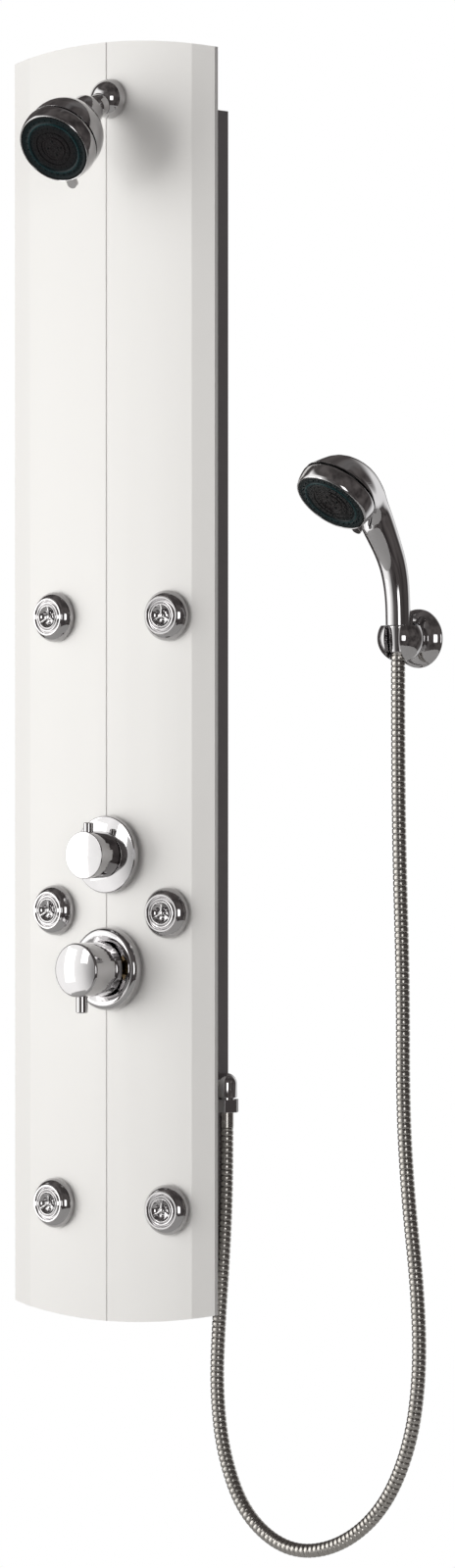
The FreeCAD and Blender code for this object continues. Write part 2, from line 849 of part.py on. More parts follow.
def jet_at(label, side, height, ahead=0):
    """A body on a jet's axis, square to the bowed face, some way ahead of it."""
    x = jet_x(side)
    depth = surface_depth(x)
    return Piece(
        label,
        x + ahead * x / BOW_RADIUS,
        -(depth + ahead * chord_height(BOW_RADIUS, x) / BOW_RADIUS),
        level(height),
        jet_turn(side),
    )


JET_SOCKET = s.jet_ball + 0.15
JET_BALL_CENTRE = s.jet_front / 2
JET_LIP = 5.8


def jet_housing(label, side, height):
    """A domed rim with a ball socket and a threaded tail."""
    centre = JET_BALL_CENTRE
    low = -7.0
    mouth = zone(JET_SOCKET, JET_LIP)
    back = zone(JET_SOCKET, -11)
    housing = jet_at(label, side, height)
    housing.revolve("XZ", [
        (s.jet_rim - 0.4, CLEAR),
        (s.jet_rim, 0.8),
        arc(s.jet_rim, 4.2, 13.5, 1),
        arc(s.jet_ring + 0.6, s.jet_front - 1.2, 2, 1),
        (s.jet_ring - 0.2, s.jet_front),
        (s.jet_ring - 1.6, s.jet_front),
        (s.jet_ring - 1.8, s.jet_front - 1.6),
        (s.jet_ring - 3.5, s.jet_front - 1.6),
        (s.jet_ring - 3.7, s.jet_front),
        (mouth + 0.6, s.jet_front),
        arc(mouth, centre + JET_LIP, JET_SOCKET, -1),
        (back, centre - 11),
        (s.jet_tail_bore, centre - 11),
        (s.jet_tail_bore, -13),
        (8, -13),
        (8, low - 1),
        (s.jet_tail, low - 1),
        (s.jet_tail, CLEAR),
    ])


def jet_nozzle(label, side, height):
    """The ball nozzle: a dished front with three spray holes into a round chamber."""
    nozzle = jet_at(label, side, height, JET_BALL_CENTRE)
    ball = s.jet_ball
    flat = 7.2
    floor = flat - 1.6
    rear = -8.5
    chamber = 8.2
    half_depth = 2.4
    feed = 3
    nozzle.revolve("XZ", [
        (feed, rear),
        arc(zone(ball, rear), rear, ball, 1),
        (zone(ball, flat), flat),
        (zone(ball, flat) - 1.2, flat),
        (zone(ball, flat) - 2.0, floor),
        (0, floor),
        (0, half_depth),
        (chamber, half_depth),
        (chamber, -half_depth),
        (feed, -half_depth),
    ])
    spray = [(5.2 * cosine(turn), 5.2 * sine(turn), 2.7) for turn in (90, 210, 330)]
    nozzle.cut("XY", flat, flat - half_depth + 0.5, circles=spray)


def jet_nuts():
    """The nuts that clamp the jets to the panel from behind."""
    back = s.panel_skin + CLEAR
    profile = [(s.jet_tail + 0.05, -back - 4), (s.jet_nut, -back - 4), (s.jet_nut, -back),
               (s.jet_tail + 0.05, -back)]
    nuts = []
    for side in (-1, 1):
        for height in jet_heights():
            nut = turned_shape(profile)
            x = jet_x(side)
            place = Vector(x.value, -surface_depth(x).value, level(height).value)
            nut.Placement = Placement(place, jet_turn(side))
            nuts.append(nut)
    feature_of("jet_nuts", Part.makeCompound(nuts))


JETS = [(side, height, f"{row}_{column}")
        for height, row in zip(jet_heights(), ("upper", "middle", "lower"))
        for side, column in ((-1, "left"), (1, "right"))]


# ---------------------------------------------------------------- valves and knobs

def valve_outline():
    neck_front = FACE_DEPTH + s.neck_reach
    return [
        (0, -s.barrel_back),
        (s.barrel_radius, -s.barrel_back),
        (s.barrel_radius, -BARREL_FRONT),
        (s.neck_radius, -BARREL_FRONT),
        (s.neck_radius, -neck_front),
        (0, -neck_front),
    ]


def valve_bore(valve):
    """The bore that guides the spindle."""
    circle = (0, 0, s.cartridge_radius + s.running_gap)
    valve.cut("XZ", s.inlet_depth, FACE_DEPTH, circles=[circle], ahead=True)


def port(piece, x, depth, sign, radius):
    """A pipe socket on the top (+1) or underside (-1) of a valve."""
    end = s.barrel_radius + 5
    piece.pad("XY", sign * (end - 20), 20, circles=[(x, -depth, radius + s.boss_wall)], back=sign < 0)
    piece.cut("XY", sign * end, s.socket_depth, circles=[(x, -depth, radius + s.running_gap)], ahead=sign < 0)


def mixer_body():
    """The thermostatic mixer, with hot and cold spigots that point down."""
    mixer = Piece("mixer_body", s.fitting_line, 0, level(TEMPERATURE_HEIGHT))
    mixer.revolve("XY", valve_outline())
    mixer.pad("YZ", 0, 2 * s.inlet_spread, circles=[(-s.inlet_depth, 0, s.crossbar_radius)], centred=True)
    for side in (-1, 1):
        spot = (side * s.inlet_spread, -s.inlet_depth)
        top = s.crossbar_radius + 1.5
        boss = top + s.inlet_length - s.inlet_thread
        mixer.pad("XY", top, boss, circles=[(*spot, s.inlet_radius - s.thread_relief)], back=True)
        mixer.pad("XY", -s.inlet_length, s.inlet_thread, circles=[(*spot, s.inlet_radius)])
        mixer.cut("XY", -s.inlet_length, s.inlet_length - 5, circles=[(*spot, s.inlet_bore)], ahead=True)
    port(mixer, 0, s.link_depth, -1, s.pipe_radius)
    valve_bore(mixer)


def diverter_body():
    """The diverter, with ports for the mixer, the riser, the two jet feeds and the outlet."""
    diverter = Piece("diverter_body", s.fitting_line, 0, level(DIVERTER_HEIGHT))
    diverter.revolve("XY", valve_outline())
    boss = s.pipe_radius + s.boss_wall
    diverter.pad("YZ", 0, s.riser_offset, circles=[(-s.riser_depth, s.port_step, 8)], back=True)
    diverter.pad("XY", 2, 24, circles=[(-s.riser_offset, -s.riser_depth, boss)])
    socket = s.pipe_radius + s.running_gap
    diverter.cut("XY", 26, s.socket_depth, circles=[(-s.riser_offset, -s.riser_depth, socket)])
    for side in (-1, 1):
        spot = (-s.feed_depth, -s.port_step)
        reach = s.barrel_radius + 7
        diverter.pad("YZ", 0, reach, circles=[(*spot, s.feed_radius + s.boss_wall)], back=side < 0)
        diverter.cut("YZ", side * reach, s.socket_depth - 4, circles=[(*spot, s.feed_radius + s.running_gap)],
                     ahead=side < 0)
    port(diverter, 0, s.link_depth, 1, s.pipe_radius)
    port(diverter, 0, s.link_depth, -1, s.feed_radius)
    valve_bore(diverter)


def spindle(label, height, reach):
    """A valve cartridge with the shaft that carries its knob."""
    turning = Piece(label, s.fitting_line, 0, level(height))
    shoulder = FACE_DEPTH + s.neck_reach - 1
    turning.revolve("XY", [
        (0, -(s.inlet_depth + 2)),
        (s.cartridge_radius, -(s.inlet_depth + 2)),
        (s.cartridge_radius, -shoulder),
        (s.shaft_radius, -shoulder),
        (s.shaft_radius, front(reach)),
        (0, front(reach)),
    ])


def temperature_flange():
    """A slightly domed cover plate."""
    outer = s.temperature_flange_radius
    hole = s.neck_radius + 0.6
    flange = Piece("temperature_flange", s.fitting_line, 0, level(TEMPERATURE_HEIGHT))
    flange.revolve("XY", [
        (outer - 1.6, front(CLEAR)),
        (outer, front(2.6)),
        arc(outer, front(7.9), 1.6, -1),
        arc(outer - 1.4, front(9.4), 148, -1),
        (hole, front(13.4)),
        (hole, front(11.4)),
        (outer - 3.2, front(7.2)),
        (outer - 3.2, front(CLEAR)),
    ])


def temperature_knob():
    knob = Piece("temperature_knob", s.fitting_line, 0, level(TEMPERATURE_HEIGHT))
    outer = s.temperature_knob_radius
    back = s.temperature_knob_back
    nose = s.temperature_knob_front
    bore = s.shaft_radius + s.running_gap
    knob.revolve("XY", [
        (bore, front(back)),
        (outer - 1, front(back)),
        (outer, front(back + 1)),
        arc(outer, front(nose - 1), 1, -1),
        arc(outer - 1, front(nose), 300, -1),
        (0, front(nose + 0.9)),
        (0, front(nose - 4)),
        (bore, front(nose - 4)),
    ])
    bottom = outer + s.button_rise - s.button_length - s.button_travel - 1
    hole = (0, front(s.button_place), s.button_radius + 0.1)
    knob.cut("XY", bottom, s.temperature_knob_radius, circles=[hole], ahead=True)


def stop_button():
    """The button that lets the knob pass its safe stop."""
    top = s.temperature_knob_radius + s.button_rise
    button = Piece("stop_button", s.fitting_line, front(s.button_place), level(TEMPERATURE_HEIGHT))
    button.revolve("XZ", [
        (0, top - s.button_length),
        (s.button_radius, top - s.button_length),
        (s.button_radius, top - 0.8),
        (s.button_radius - 0.8, top),
        (0, top),
    ])


def diverter_flange():
    """A cover ring with a round rim and a dished face."""
    outer = s.diverter_flange_radius
    hole = s.neck_radius + 0.6
    flange = Piece("diverter_flange", s.fitting_line, 0, level(DIVERTER_HEIGHT))
    flange.revolve("XY", [
        (outer - 0.5, front(CLEAR)),
        (outer, front(1)),
        arc(outer, front(7), 6.2, -1),
        (outer - 5.8, front(13)),
        arc(outer - 8, front(13), 45, 1),
        (hole, front(9.2)),
        (hole, front(7.2)),
        (outer - 9, front(10.4)),
        (outer - 2.4, front(6)),
        (outer - 2.4, front(CLEAR)),
    ])


def diverter_knob():
    knob = Piece("diverter_knob", s.fitting_line, 0, level(DIVERTER_HEIGHT))
    outer = s.diverter_knob_radius
    back = s.diverter_knob_back
    nose = s.diverter_knob_front
    bore = s.shaft_radius + s.running_gap
    knob.revolve("XY", [
        (bore, front(back)),
        (outer - 1, front(back)),
        (outer, front(back + 1)),
        arc(outer, front(nose - 2.5), 2.8, -1),
        arc(outer - 2.2, front(nose), 82, -1),
        (0, front(nose + s.diverter_dome)),
        (0, front(nose - 2)),
        (bore, front(nose - 2)),
    ])
    start = -(outer - s.lever_seat)
    lever_hole = s.lever_radius + s.running_gap
    knob.cut("XY", start, 2 * s.lever_seat, circles=[(0, front(s.lever_place), lever_hole)])


def diverter_lever():
    """The finger pin screwed into the diverter knob."""
    tip = s.diverter_knob_radius + s.lever_reach
    start = s.diverter_knob_radius - s.lever_seat + CLEAR
    lever = Piece("diverter_lever", s.fitting_line, front(s.lever_place), level(DIVERTER_HEIGHT))
    lever.revolve("XZ", [
        (0, -start),
        (0, -tip),
        (s.lever_radius - 0.8, -tip),
        (s.lever_radius, -(tip - 0.8)),
        (s.lever_radius, -start),
    ])


# ---------------------------------------------------------------- pipes

def tube_circles(x, y, radius):
    return [(x, y, radius), (x, y, radius - s.pipe_wall)]


SOCKET_END = s.barrel_radius + 5 - s.socket_depth + 1


def link_pipe():
    low = level(DIVERTER_HEIGHT + SOCKET_END)
    length = 2 * s.valve_spread - 2 * SOCKET_END
    pipe = Piece("link_pipe", s.fitting_line, -s.link_depth, low)
    pipe.pad("XY", 0, length, circles=tube_circles(0, 0, s.pipe_radius))


def riser_pipe():
    """The pipe that feeds the arm; it steps aside to pass the mixer."""
    low = level(DIVERTER_HEIGHT) + 15
    high = level(s.arm_height) - s.arm_elbow_drop + s.socket_depth - 1
    step = level(s.arm_height) - 100
    bend = s.pipe_bend
    offset = s.riser_offset
    path = [
        (-offset, low),
        arc(-offset, step - bend, bend, -1),
        (-offset + bend, step),
        arc(-bend, step, bend, 1),
        (0, step + bend),
        (0, high),
    ]
    pipe = Piece("riser_pipe", s.fitting_line, -s.riser_depth, 0)
    pipe.pipe("XZ", path, 0, "XY", low, tube_circles(-offset, 0, s.pipe_radius))


def jet_manifold(label, side):
    """A closed standpipe with a tee for each jet and a feed from the diverter."""
    x = jet_x(side)
    top = s.jet_height + s.jet_pitch + 8
    bottom = s.jet_height - s.jet_pitch - 8
    manifold = Piece(label)
    manifold.pad("XY", level(bottom), top - bottom, circles=[(x, -s.feed_depth, s.feed_radius)])
    stub = s.box_depth - s.feed_depth - 0.8
    for height in jet_heights():
        manifold.pad("XZ", s.feed_depth, stub, circles=[(x, level(height), s.feed_radius + 1)])
    reach = side * (x - s.fitting_line) - (s.barrel_radius + 7 - s.socket_depth + 5)
    feed = (-s.feed_depth, level(DIVERTER_HEIGHT) - s.port_step)
    manifold.pad("YZ", x, reach, circles=[(*feed, s.feed_radius)], back=side > 0)
    bore = s.feed_radius - s.pipe_wall
    manifold.cut("XY", level(bottom) + 2, top - bottom - 4, circles=[(x, -s.feed_depth, bore)], ahead=True)
    manifold.cut("YZ", x, reach, circles=[(*feed, bore)], ahead=side < 0)
    for height in jet_heights():
        manifold.cut("XZ", s.feed_depth, stub, ahead=True, circles=[(x, level(height), bore)])


def outlet_pipe():
    """The pipe from the diverter down to the side elbow."""
    start = level(DIVERTER_HEIGHT) - SOCKET_END
    low = level(s.outlet_height)
    end = s.outlet_x - 34 - s.fitting_line - CLEAR
    path = [(0, start), arc(0, low + s.pipe_bend, s.pipe_bend, 1), (s.pipe_bend, low), (end, low)]
    pipe = Piece("outlet_pipe", s.fitting_line, -s.outlet_depth, 0)
    pipe.pipe("XZ", path, 0, "XY", start, tube_circles(0, 0, s.feed_radius))


# ---------------------------------------------------------------- outlet and hose

OUTLET_BOTTOM = s.outlet_drop + s.nut_gap
NUT_BOTTOM = OUTLET_BOTTOM + s.nut_length
HOSE_START_DROP = NUT_BOTTOM + s.ferrule_length


def outlet_at(label):
    return Piece(label, s.outlet_x, -s.outlet_depth, level(s.outlet_height))


def outlet_elbow():
    elbow = outlet_at("outlet_elbow")
    radius = s.outlet_radius
    wall_x = BOX_HALF - s.outlet_x
    elbow.revolve("XZ", [
        arc(radius, 0, radius, 1),
        (0, radius),
        (0, -s.outlet_drop),
        (s.outlet_spigot - 2.5, -s.outlet_drop),
        (s.outlet_spigot - 2.5, -(OUTLET_BOTTOM + 5)),
        (s.outlet_spigot, -(OUTLET_BOTTOM + 5)),
        (s.outlet_spigot, -s.outlet_drop),
        (radius - 0.6, -s.outlet_drop),
        (radius, -(s.outlet_drop - 0.6)),
    ])
    elbow.pad("YZ", wall_x, -wall_x, circles=[(0, 0, radius - 0.05)])
    elbow.pad("YZ", wall_x + CLEAR, 3, circles=[(0, 0, s.outlet_collar)])
    elbow.pad("YZ", -34, 34, circles=[(0, 0, s.outlet_thread)])
    elbow.cut("YZ", -34, 34, circles=[(0, 0, s.feed_radius - s.pipe_wall)], ahead=True)
    way = s.outlet_spigot - 2.5
    elbow.cut("XY", -s.outlet_drop - 1, s.outlet_drop + 1, circles=[(0, 0, way)], ahead=True)


def outlet_nut():
    """The lock nut inside the box."""
    nut = outlet_at("outlet_nut")
    inner_wall = BOX_HALF - s.sheet_wall - s.outlet_x - 0.1
    nut.pad("YZ", inner_wall, 6, [hexagon(0, 0, 15)], [(0, 0, s.outlet_thread + s.running_gap)], back=True)


def hose_nut():
    """The six-sided nut of the hose, turned to a bevel at both ends."""
    nut = outlet_at("hose_nut")
    nut.pad("XY", -OUTLET_BOTTOM, s.nut_length, [hexagon(0, 0, s.nut_radius)],
            [(0, 0, s.outlet_spigot + s.running_gap)], back=True)


def hose_ferrule():
    ferrule = outlet_at("hose_ferrule")
    radius = s.ferrule_radius
    ferrule.revolve("XZ", [
        (s.hose_bore, -(NUT_BOTTOM - 5)),
        (radius, -(NUT_BOTTOM - 5)),
        (radius, -(HOSE_START_DROP - 0.8)),
        (radius - 0.8, -HOSE_START_DROP),
        (s.hose_bore, -HOSE_START_DROP),
    ])


def hose_route():
    """Corners of the hose's path: from the ferrule, down, round the low bend and up to the handset."""
    start = Vector(s.outlet_x.value, -s.outlet_depth.value, level(s.outlet_height - HOSE_START_DROP).value)
    end = Vector(s.handset_x.value, -s.handset_depth.value, level(s.handset_height - s.cone_length).value)
    corners = [
        (124, -27, 140), (120, -27, 70), (114, -27, 0), (111, -27, -66), (120, -27, -132),
        (148, -27, -191), (203, -27.5, -223), (266, -28, -213), (322, -28.5, -171),
        (356, -29, -104), (368, -29.5, -28), (364.5, -30, 55), (354, -30.5, 137),
        (348, -31.5, 230), (349, -32.5, 350), (345, -33.5, 480), (344.6, -35, 590),
    ]
    points = [start] + [Vector(x, y, level(z).value) for x, y, z in corners] + [end]
    return points


def rounded_path(points):
    """Straight runs joined by tangent arcs, each as large as its two runs allow."""
    edges = []
    radii = []
    last = points[0]
    for before, corner, after in zip(points, points[1:], points[2:]):
        into = (corner - before).normalize()
        away = (after - corner).normalize()
        turn = into.getAngle(away)
        setback = 0.45 * min((corner - before).Length, (after - corner).Length)
        radius = setback / math.tan(turn / 2)
        radii.append(radius)
        first = corner - into * setback
        final = corner + away * setback
        bisector = (away - into).normalize()
        middle = corner + bisector * (radius / math.cos(turn / 2) - radius)
        edges.append(Part.LineSegment(last, first).toShape())
        edges.append(Part.Arc(first, middle, final).toShape())
        last = final
    edges.append(Part.LineSegment(last, points[-1]).toShape())
    print("hose radii", " ".join(f"{radius:.0f}" for radius in radii))
    return Part.Wire(edges)


HOSE_RIBS = 196
HOSE_PLAIN_END = 14
HOSE_END_NARROWER = 0.3
HOSE_GROOVE = 0.9
RIB_EDGES = (0.06, 0.22, 0.78, 0.94)


def ring_at(spot, radius, steady=Vector(0, -1, 0)):
    """A circle square to the path, its X axis kept steady."""
    position, tangent = spot
    turn = Rotation(steady, Vector(), tangent, "ZXY")
    circle = Part.Circle(Vector(), Vector(0, 0, 1), radius)
    edge = circle.toShape()
    edge.Placement = Placement(position, turn)
    return Part.Wire([edge])


def along(path, distances):
    """Points and directions at distances along a wire."""
    found = []
    travelled = 0
    edges = list(path.Edges)
    index = 0
    for distance in distances:
        while index < len(edges) - 1 and distance > travelled + edges[index].Length:
            travelled += edges[index].Length
            index += 1
        edge = edges[index]
        parameter = edge.getParameterByLength(min(distance - travelled, edge.Length))
        found.append((edge.valueAt(parameter), edge.tangentAt(parameter)))
    return found


def hose():
    path = rounded_path(hose_route())
    length = path.Length
    print(f"hose length {length:.1f}")
    outer = s.hose_radius.value
    pitch = (length - 2 * HOSE_PLAIN_END) / HOSE_RIBS
    groove = outer - HOSE_GROOVE
    stations = [0]
    radii = [outer - HOSE_END_NARROWER]
    for rib in range(HOSE_RIBS):
        start = HOSE_PLAIN_END + rib * pitch
        stations += [start + pitch * share for share in RIB_EDGES]
        radii += [groove, outer, outer, groove]
    stations.append(length)
    radii.append(outer - HOSE_END_NARROWER)
    rings = [ring_at(spot, radius) for spot, radius in zip(along(path, stations), radii)]
    shape = Part.makeLoft(rings, True, True)
    inner = [ring_at(spot, s.hose_bore.value) for spot in along(path, stations[::2] + [length])]
    shape = shape.cut(Part.makeLoft(inner, True, True))
    print(f"hose volume {shape.Volume:.0f}, section times length {math.pi * outer ** 2 * length:.0f}")
    feature_of("hose", shape)


# ---------------------------------------------------------------- handset and holder

HANDSET_TURN = Rotation(Vector(0, 0, 1), s.handset_turn.value)
HANDSET_BASE = (s.handset_x, -s.handset_depth, level(s.handset_height))


def handset_face_base():
    """Centre of the handset's face."""
    reach = s.handset_face_reach
    return (
        s.handset_x + reach * sine(s.handset_turn),
        -(s.handset_depth + reach * cosine(s.handset_turn)),
        level(s.handset_height) + s.handset_face_rise,
    )


HANDSET_FACE_TURN = HANDSET_TURN * Rotation(Vector(1, 0, 0), 90 + s.handset_face_tilt.value)


def hose_cone_nut():
    nut = Piece("hose_cone_nut", *HANDSET_BASE, HANDSET_TURN)
    bore = s.hose_bore
    length = s.cone_length
    nut.revolve("XZ", [
        (bore, -CLEAR),
        (s.cone_top - 0.8, -CLEAR),
        (s.cone_top, -1),
        (s.cone_bottom, -(length - 0.8)),
        (s.cone_bottom - 0.8, -length),
        (bore, -length),
    ])


def smoothed(points, steps):
    """More points on a smooth curve through the given ones."""
    dense = []
    for index in range(len(points) - 1):
        start = points[index]
        end = points[index + 1]
        leaving = (end - points[index - 1]) * 0.5 if index else end - start
        arriving = (points[index + 2] - start) * 0.5 if index + 2 < len(points) else end - start
        for step in range(steps):
            t = step / steps
            weights = (2 * t ** 3 - 3 * t ** 2 + 1, t ** 3 - 2 * t ** 2 + t,
                       3 * t ** 2 - 2 * t ** 3, t ** 3 - t ** 2)
            parts = (start, leaving, end, arriving)
            dense.append(sum((part * weight for part, weight in zip(parts, weights)), Vector()))
    return dense + [points[-1]]


def handle_loft(grow):
    """The handset's outside from the nut to the back of its head, made thicker by grow.

    Each round section spans the middle plane from a front to a back point, (reach, rise) forward
    of and above the handle's lower end; the sections fan out behind the ring.
    """
    base = [
        ((s.handle_radius.value, 0), (-s.handle_radius.value, 0)),
        ((13.0, 22), (-11.5, 22.6)),
        ((15.7, 40.8), (-9.6, 45.2)),
        ((20.6, 56.3), (-5.0, 65.7)),
        ((28.3, 70.9), (2.7, 85.1)),
    ]
    behind = s.handset_dome_plane.value
    tilt = math.radians(s.handset_face_tilt.value)
    middle = (s.handset_face_reach.value - behind * math.cos(tilt),
              s.handset_face_rise.value + behind * math.sin(tilt))
    radius = s.head_radius.value
    lower = (middle[0] - radius * math.sin(tilt), middle[1] - radius * math.cos(tilt))
    upper = (middle[0] + radius * math.sin(tilt), middle[1] + radius * math.cos(tilt))
    fan = [
        ((40.5, 89.5), (13.5, 108.5)),
        ((42.4, 95.3), (22.0, 124.0)),
        ((43.6, 100.0), (34.0, 142.5)),
        ((44.6, 103.6), (54.0, 158.5)),
        ((lower[0] - 1.1, lower[1] - 0.8), (79.5, 165.5)),
        (lower, upper),
    ]
    nears = smoothed([Vector(0, -near[0], near[1]) for near, far in base + fan], 4)
    fars = smoothed([Vector(0, -far[0], far[1]) for near, far in base + fan], 4)
    rings = []
    for near, far in zip(nears, fars):
        normal = Vector(1, 0, 0).cross(far - near).normalize()
        ring = ring_at(((near + far) * 0.5, normal), (far - near).Length / 2 + grow, Vector(1, 0, 0))
        rings.append(ring.Edges[0])
    faces = [Part.makeRuledSurface(first, second) for first, second in zip(rings, rings[1:])]
    faces += [Part.Face(Part.Wire([ring])) for ring in (rings[0], rings[-1])]
    shell = Part.makeShell(faces)
    shell.sewShape()
    solid = Part.makeSolid(shell)
    if solid.Volume < 0:
        solid.reverse()
    return solid


def handset_shell():
    """The hollow handle and head, open in front behind the ring."""
    back = GAP_BACK.value
    rim = s.handset_dome_plane.value - back
    face_turn = Rotation(Vector(1, 0, 0), 90 + s.handset_face_tilt.value)
    face = Placement(Vector(0, -s.handset_face_reach.value, s.handset_face_rise.value), face_turn)
    collar = Part.makeCylinder(s.head_radius.value, rim, Vector(0, 0, -back - rim))
    seat = Part.makeCylinder(s.face_radius.value + 0.2, rim + 0.5, Vector(0, 0, -back - rim - 0.25))
    for solid in (collar, seat):
        solid.Placement = face
    wall = s.handle_wall.value
    above_floor = Part.makeBox(200, 300, 300, Vector(-100, -200, wall))
    shape = handle_loft(0).fuse(collar).cut(handle_loft(-wall).common(above_floor)).cut(seat)
    shape = shape.cut(Part.makeCylinder(s.hose_bore.value + 2, 2 * wall, Vector(0, 0, -1)))
    shell = feature_of("handset_shell", shape.Solids[0])
    place(shell, *HANDSET_BASE, HANDSET_TURN)


def holder_at(label):
    return Piece(label, s.holder_x, 0, level(s.holder_height))


HOLDER_PLATE = 2.5


def holder_plate():
    """The plate screwed to the wall behind the holder's cover."""
    plate = holder_at("holder_plate")
    holes = [(side * 17, 0, 2.5) for side in (-1, 1)]
    plate.pad("XZ", 0, HOLDER_PLATE, circles=[(0, 0, s.holder_flange - 3.4)])
    plate.cut("XZ", 0, 20, circles=holes, centred=True)


def holder_flange():
    """The domed cover of the wall plate."""
    outer = s.holder_flange
    mouth = 15.2
    flange = holder_at("holder_flange")
    flange.revolve("XY", [
        (outer, -CLEAR),
        (outer, -2),
        arc(outer - 1, -3, 24, -1),
        (mouth + 1, -11.5),
        (mouth, -11.5),
        (mouth, -9.5),
        (outer - 3.0, -2.8),
        (outer - 3.0, -CLEAR),
    ])


def holder_socket():
    """A ball on the wall plate, bored to the hose nut's cone and slotted in front for the hose."""
    ball = s.holder_ball
    depth = s.holder_depth
    socket = holder_at("holder_socket")
    neck_depth = depth - chord_height(ball, s.holder_neck)
    socket.revolve("XY", [
        (0, -HOLDER_PLATE),
        (s.holder_neck + 3, -HOLDER_PLATE),
        (s.holder_neck, -(HOLDER_PLATE + 2)),
        arc(s.holder_neck, -neck_depth, ball, -1),
        (0, -(depth + ball)),
    ])
    axis = s.handset_depth
    rise = s.handset_height - s.holder_height
    gap = s.socket_gap
    # a flat top for the handle to stand on, with a lug behind it
    socket.cut("XY", rise - gap, ball, [rectangle(-ball, ball, -(depth + ball), 0)], ahead=True)
    lug_back = axis - s.handle_radius - gap
    socket.pad("XY", rise - 6, 17, [rectangle(-6, 6, -lug_back, -(lug_back - 4))])
    document.recompute()
    before = socket.body.Shape.Volume
    low = rise - s.cone_length - 3
    slope = (s.cone_top - s.cone_bottom) / s.cone_length
    narrow = s.cone_bottom + gap - slope * 3
    # the bore follows the nut's cone with a small gap
    drawing = socket.sketch("XZ", axis)
    draw_outline(drawing, [
        (0, low - 8),
        (narrow, low - 8),
        (narrow, low),
        (s.cone_top + gap, rise),
        (s.cone_top + gap, rise + 2),
        (0, rise + 2),
    ])
    made = socket.feature("Groove", drawing)
    made.ReferenceAxis = (drawing, ["V_Axis"])
    made.Angle = 360
    document.recompute()
    if socket.body.Shape.Volume > before - 1:
        raise ValueError("the holder's bore cuts nothing")
    # the slot starts at the bore's axis and leaves a little to the right
    half = s.holder_slot / 2
    sideways = sine(s.holder_slot_turn)
    ahead = cosine(s.holder_slot_turn)
    slot = []
    for across, out in ((-half, 45), (half, 45), (half, 0), (-half, 0)):
        slot.append((out * sideways + across * ahead, -(axis + out * ahead - across * sideways)))
    socket.cut("XY", rise + 30, 100, [slot])


# ---------------------------------------------------------------- assembly

def build():
    for label, side in (("panel_left", -1), ("panel_right", 1)):
        panel_half(label, side)
    for label, side in (("side_rail_left", -1), ("side_rail_right", 1)):
        side_rail(label, side)
    end_cap("top_cap", 1)
    end_cap("bottom_cap", -1)
    for level_name, height in (("upper", s.hang_height), ("lower", s.lower_hang_height)):
        wall_rail(f"{level_name}_wall_rail", height)
        hanger(f"{level_name}_hanger", height)
    panel_screws()
    arm_flange()
    shower_arm()
    arm_elbow()
    head_ball_seat()
    head_collar()
    head_shell()
    spray_ring(head_at("head_ring", s.head_length), s.head_tab_reach, s.head_tab_back)
    spray_face(head_at("head_face", s.head_length))
    for side, height, name in JETS:
        jet_housing(f"jet_housing_{name}", side, height)
        jet_nozzle(f"jet_nozzle_{name}", side, height)
    jet_nuts()
    mixer_body()
    temperature_flange()
    spindle("temperature_spindle", TEMPERATURE_HEIGHT, s.temperature_knob_front - 5)
    temperature_knob()
    stop_button()
    diverter_body()
    diverter_flange()
    spindle("diverter_spindle", DIVERTER_HEIGHT, s.diverter_knob_front - 3)
    diverter_knob()
    diverter_lever()
    link_pipe()
    riser_pipe()
    jet_manifold("jet_manifold_left", -1)
    jet_manifold("jet_manifold_right", 1)
    outlet_pipe()
    outlet_elbow()
    outlet_nut()
    hose_nut()
    hose_ferrule()
    hose()
    hose_cone_nut()
    handset_shell()
    handset_ring = Piece("handset_ring", *handset_face_base(), HANDSET_FACE_TURN)
    spray_ring(handset_ring, s.handset_tab_reach, s.handset_tab_back)
    spray_face(Piece("handset_face", *handset_face_base(), HANDSET_FACE_TURN))
    holder_plate()
    holder_flange()
    holder_socket()


def check_model():
    """Stops before anything is written if an object failed or a solid isn't sound."""
    document.recompute()
    for thing in document.Objects:
        if "Invalid" in thing.State or "Error" in thing.State:
            raise ValueError(f"{thing.Label} failed: {thing.State}")
    for piece in PIECES:
        if piece.Shape.isNull() or not piece.Shape.isValid() or not piece.Shape.Solids:
            raise ValueError(f"{piece.Label} has no sound solid")


build()
check_model()
os.makedirs("parts", exist_ok=True)
for piece in PIECES:
    piece.Shape.exportStep(f"parts/{piece.Label}.step")
print(f"{len(PIECES)} nodes")
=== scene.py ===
import json
import math

import bmesh
import bpy
from mathutils import Matrix, Vector


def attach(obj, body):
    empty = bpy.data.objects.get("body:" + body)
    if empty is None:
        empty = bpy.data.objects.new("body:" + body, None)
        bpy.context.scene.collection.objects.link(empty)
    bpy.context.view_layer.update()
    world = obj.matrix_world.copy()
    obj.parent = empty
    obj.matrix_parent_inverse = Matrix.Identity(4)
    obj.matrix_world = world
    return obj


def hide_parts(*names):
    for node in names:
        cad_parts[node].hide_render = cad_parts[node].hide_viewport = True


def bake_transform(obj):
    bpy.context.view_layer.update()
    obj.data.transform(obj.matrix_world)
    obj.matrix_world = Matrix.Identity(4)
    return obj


# The looks of a wall-hung shower column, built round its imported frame. Lengths are in metres, apart
# from the outlines of turned pieces and what belongs to the body jets, which are in millimetres.

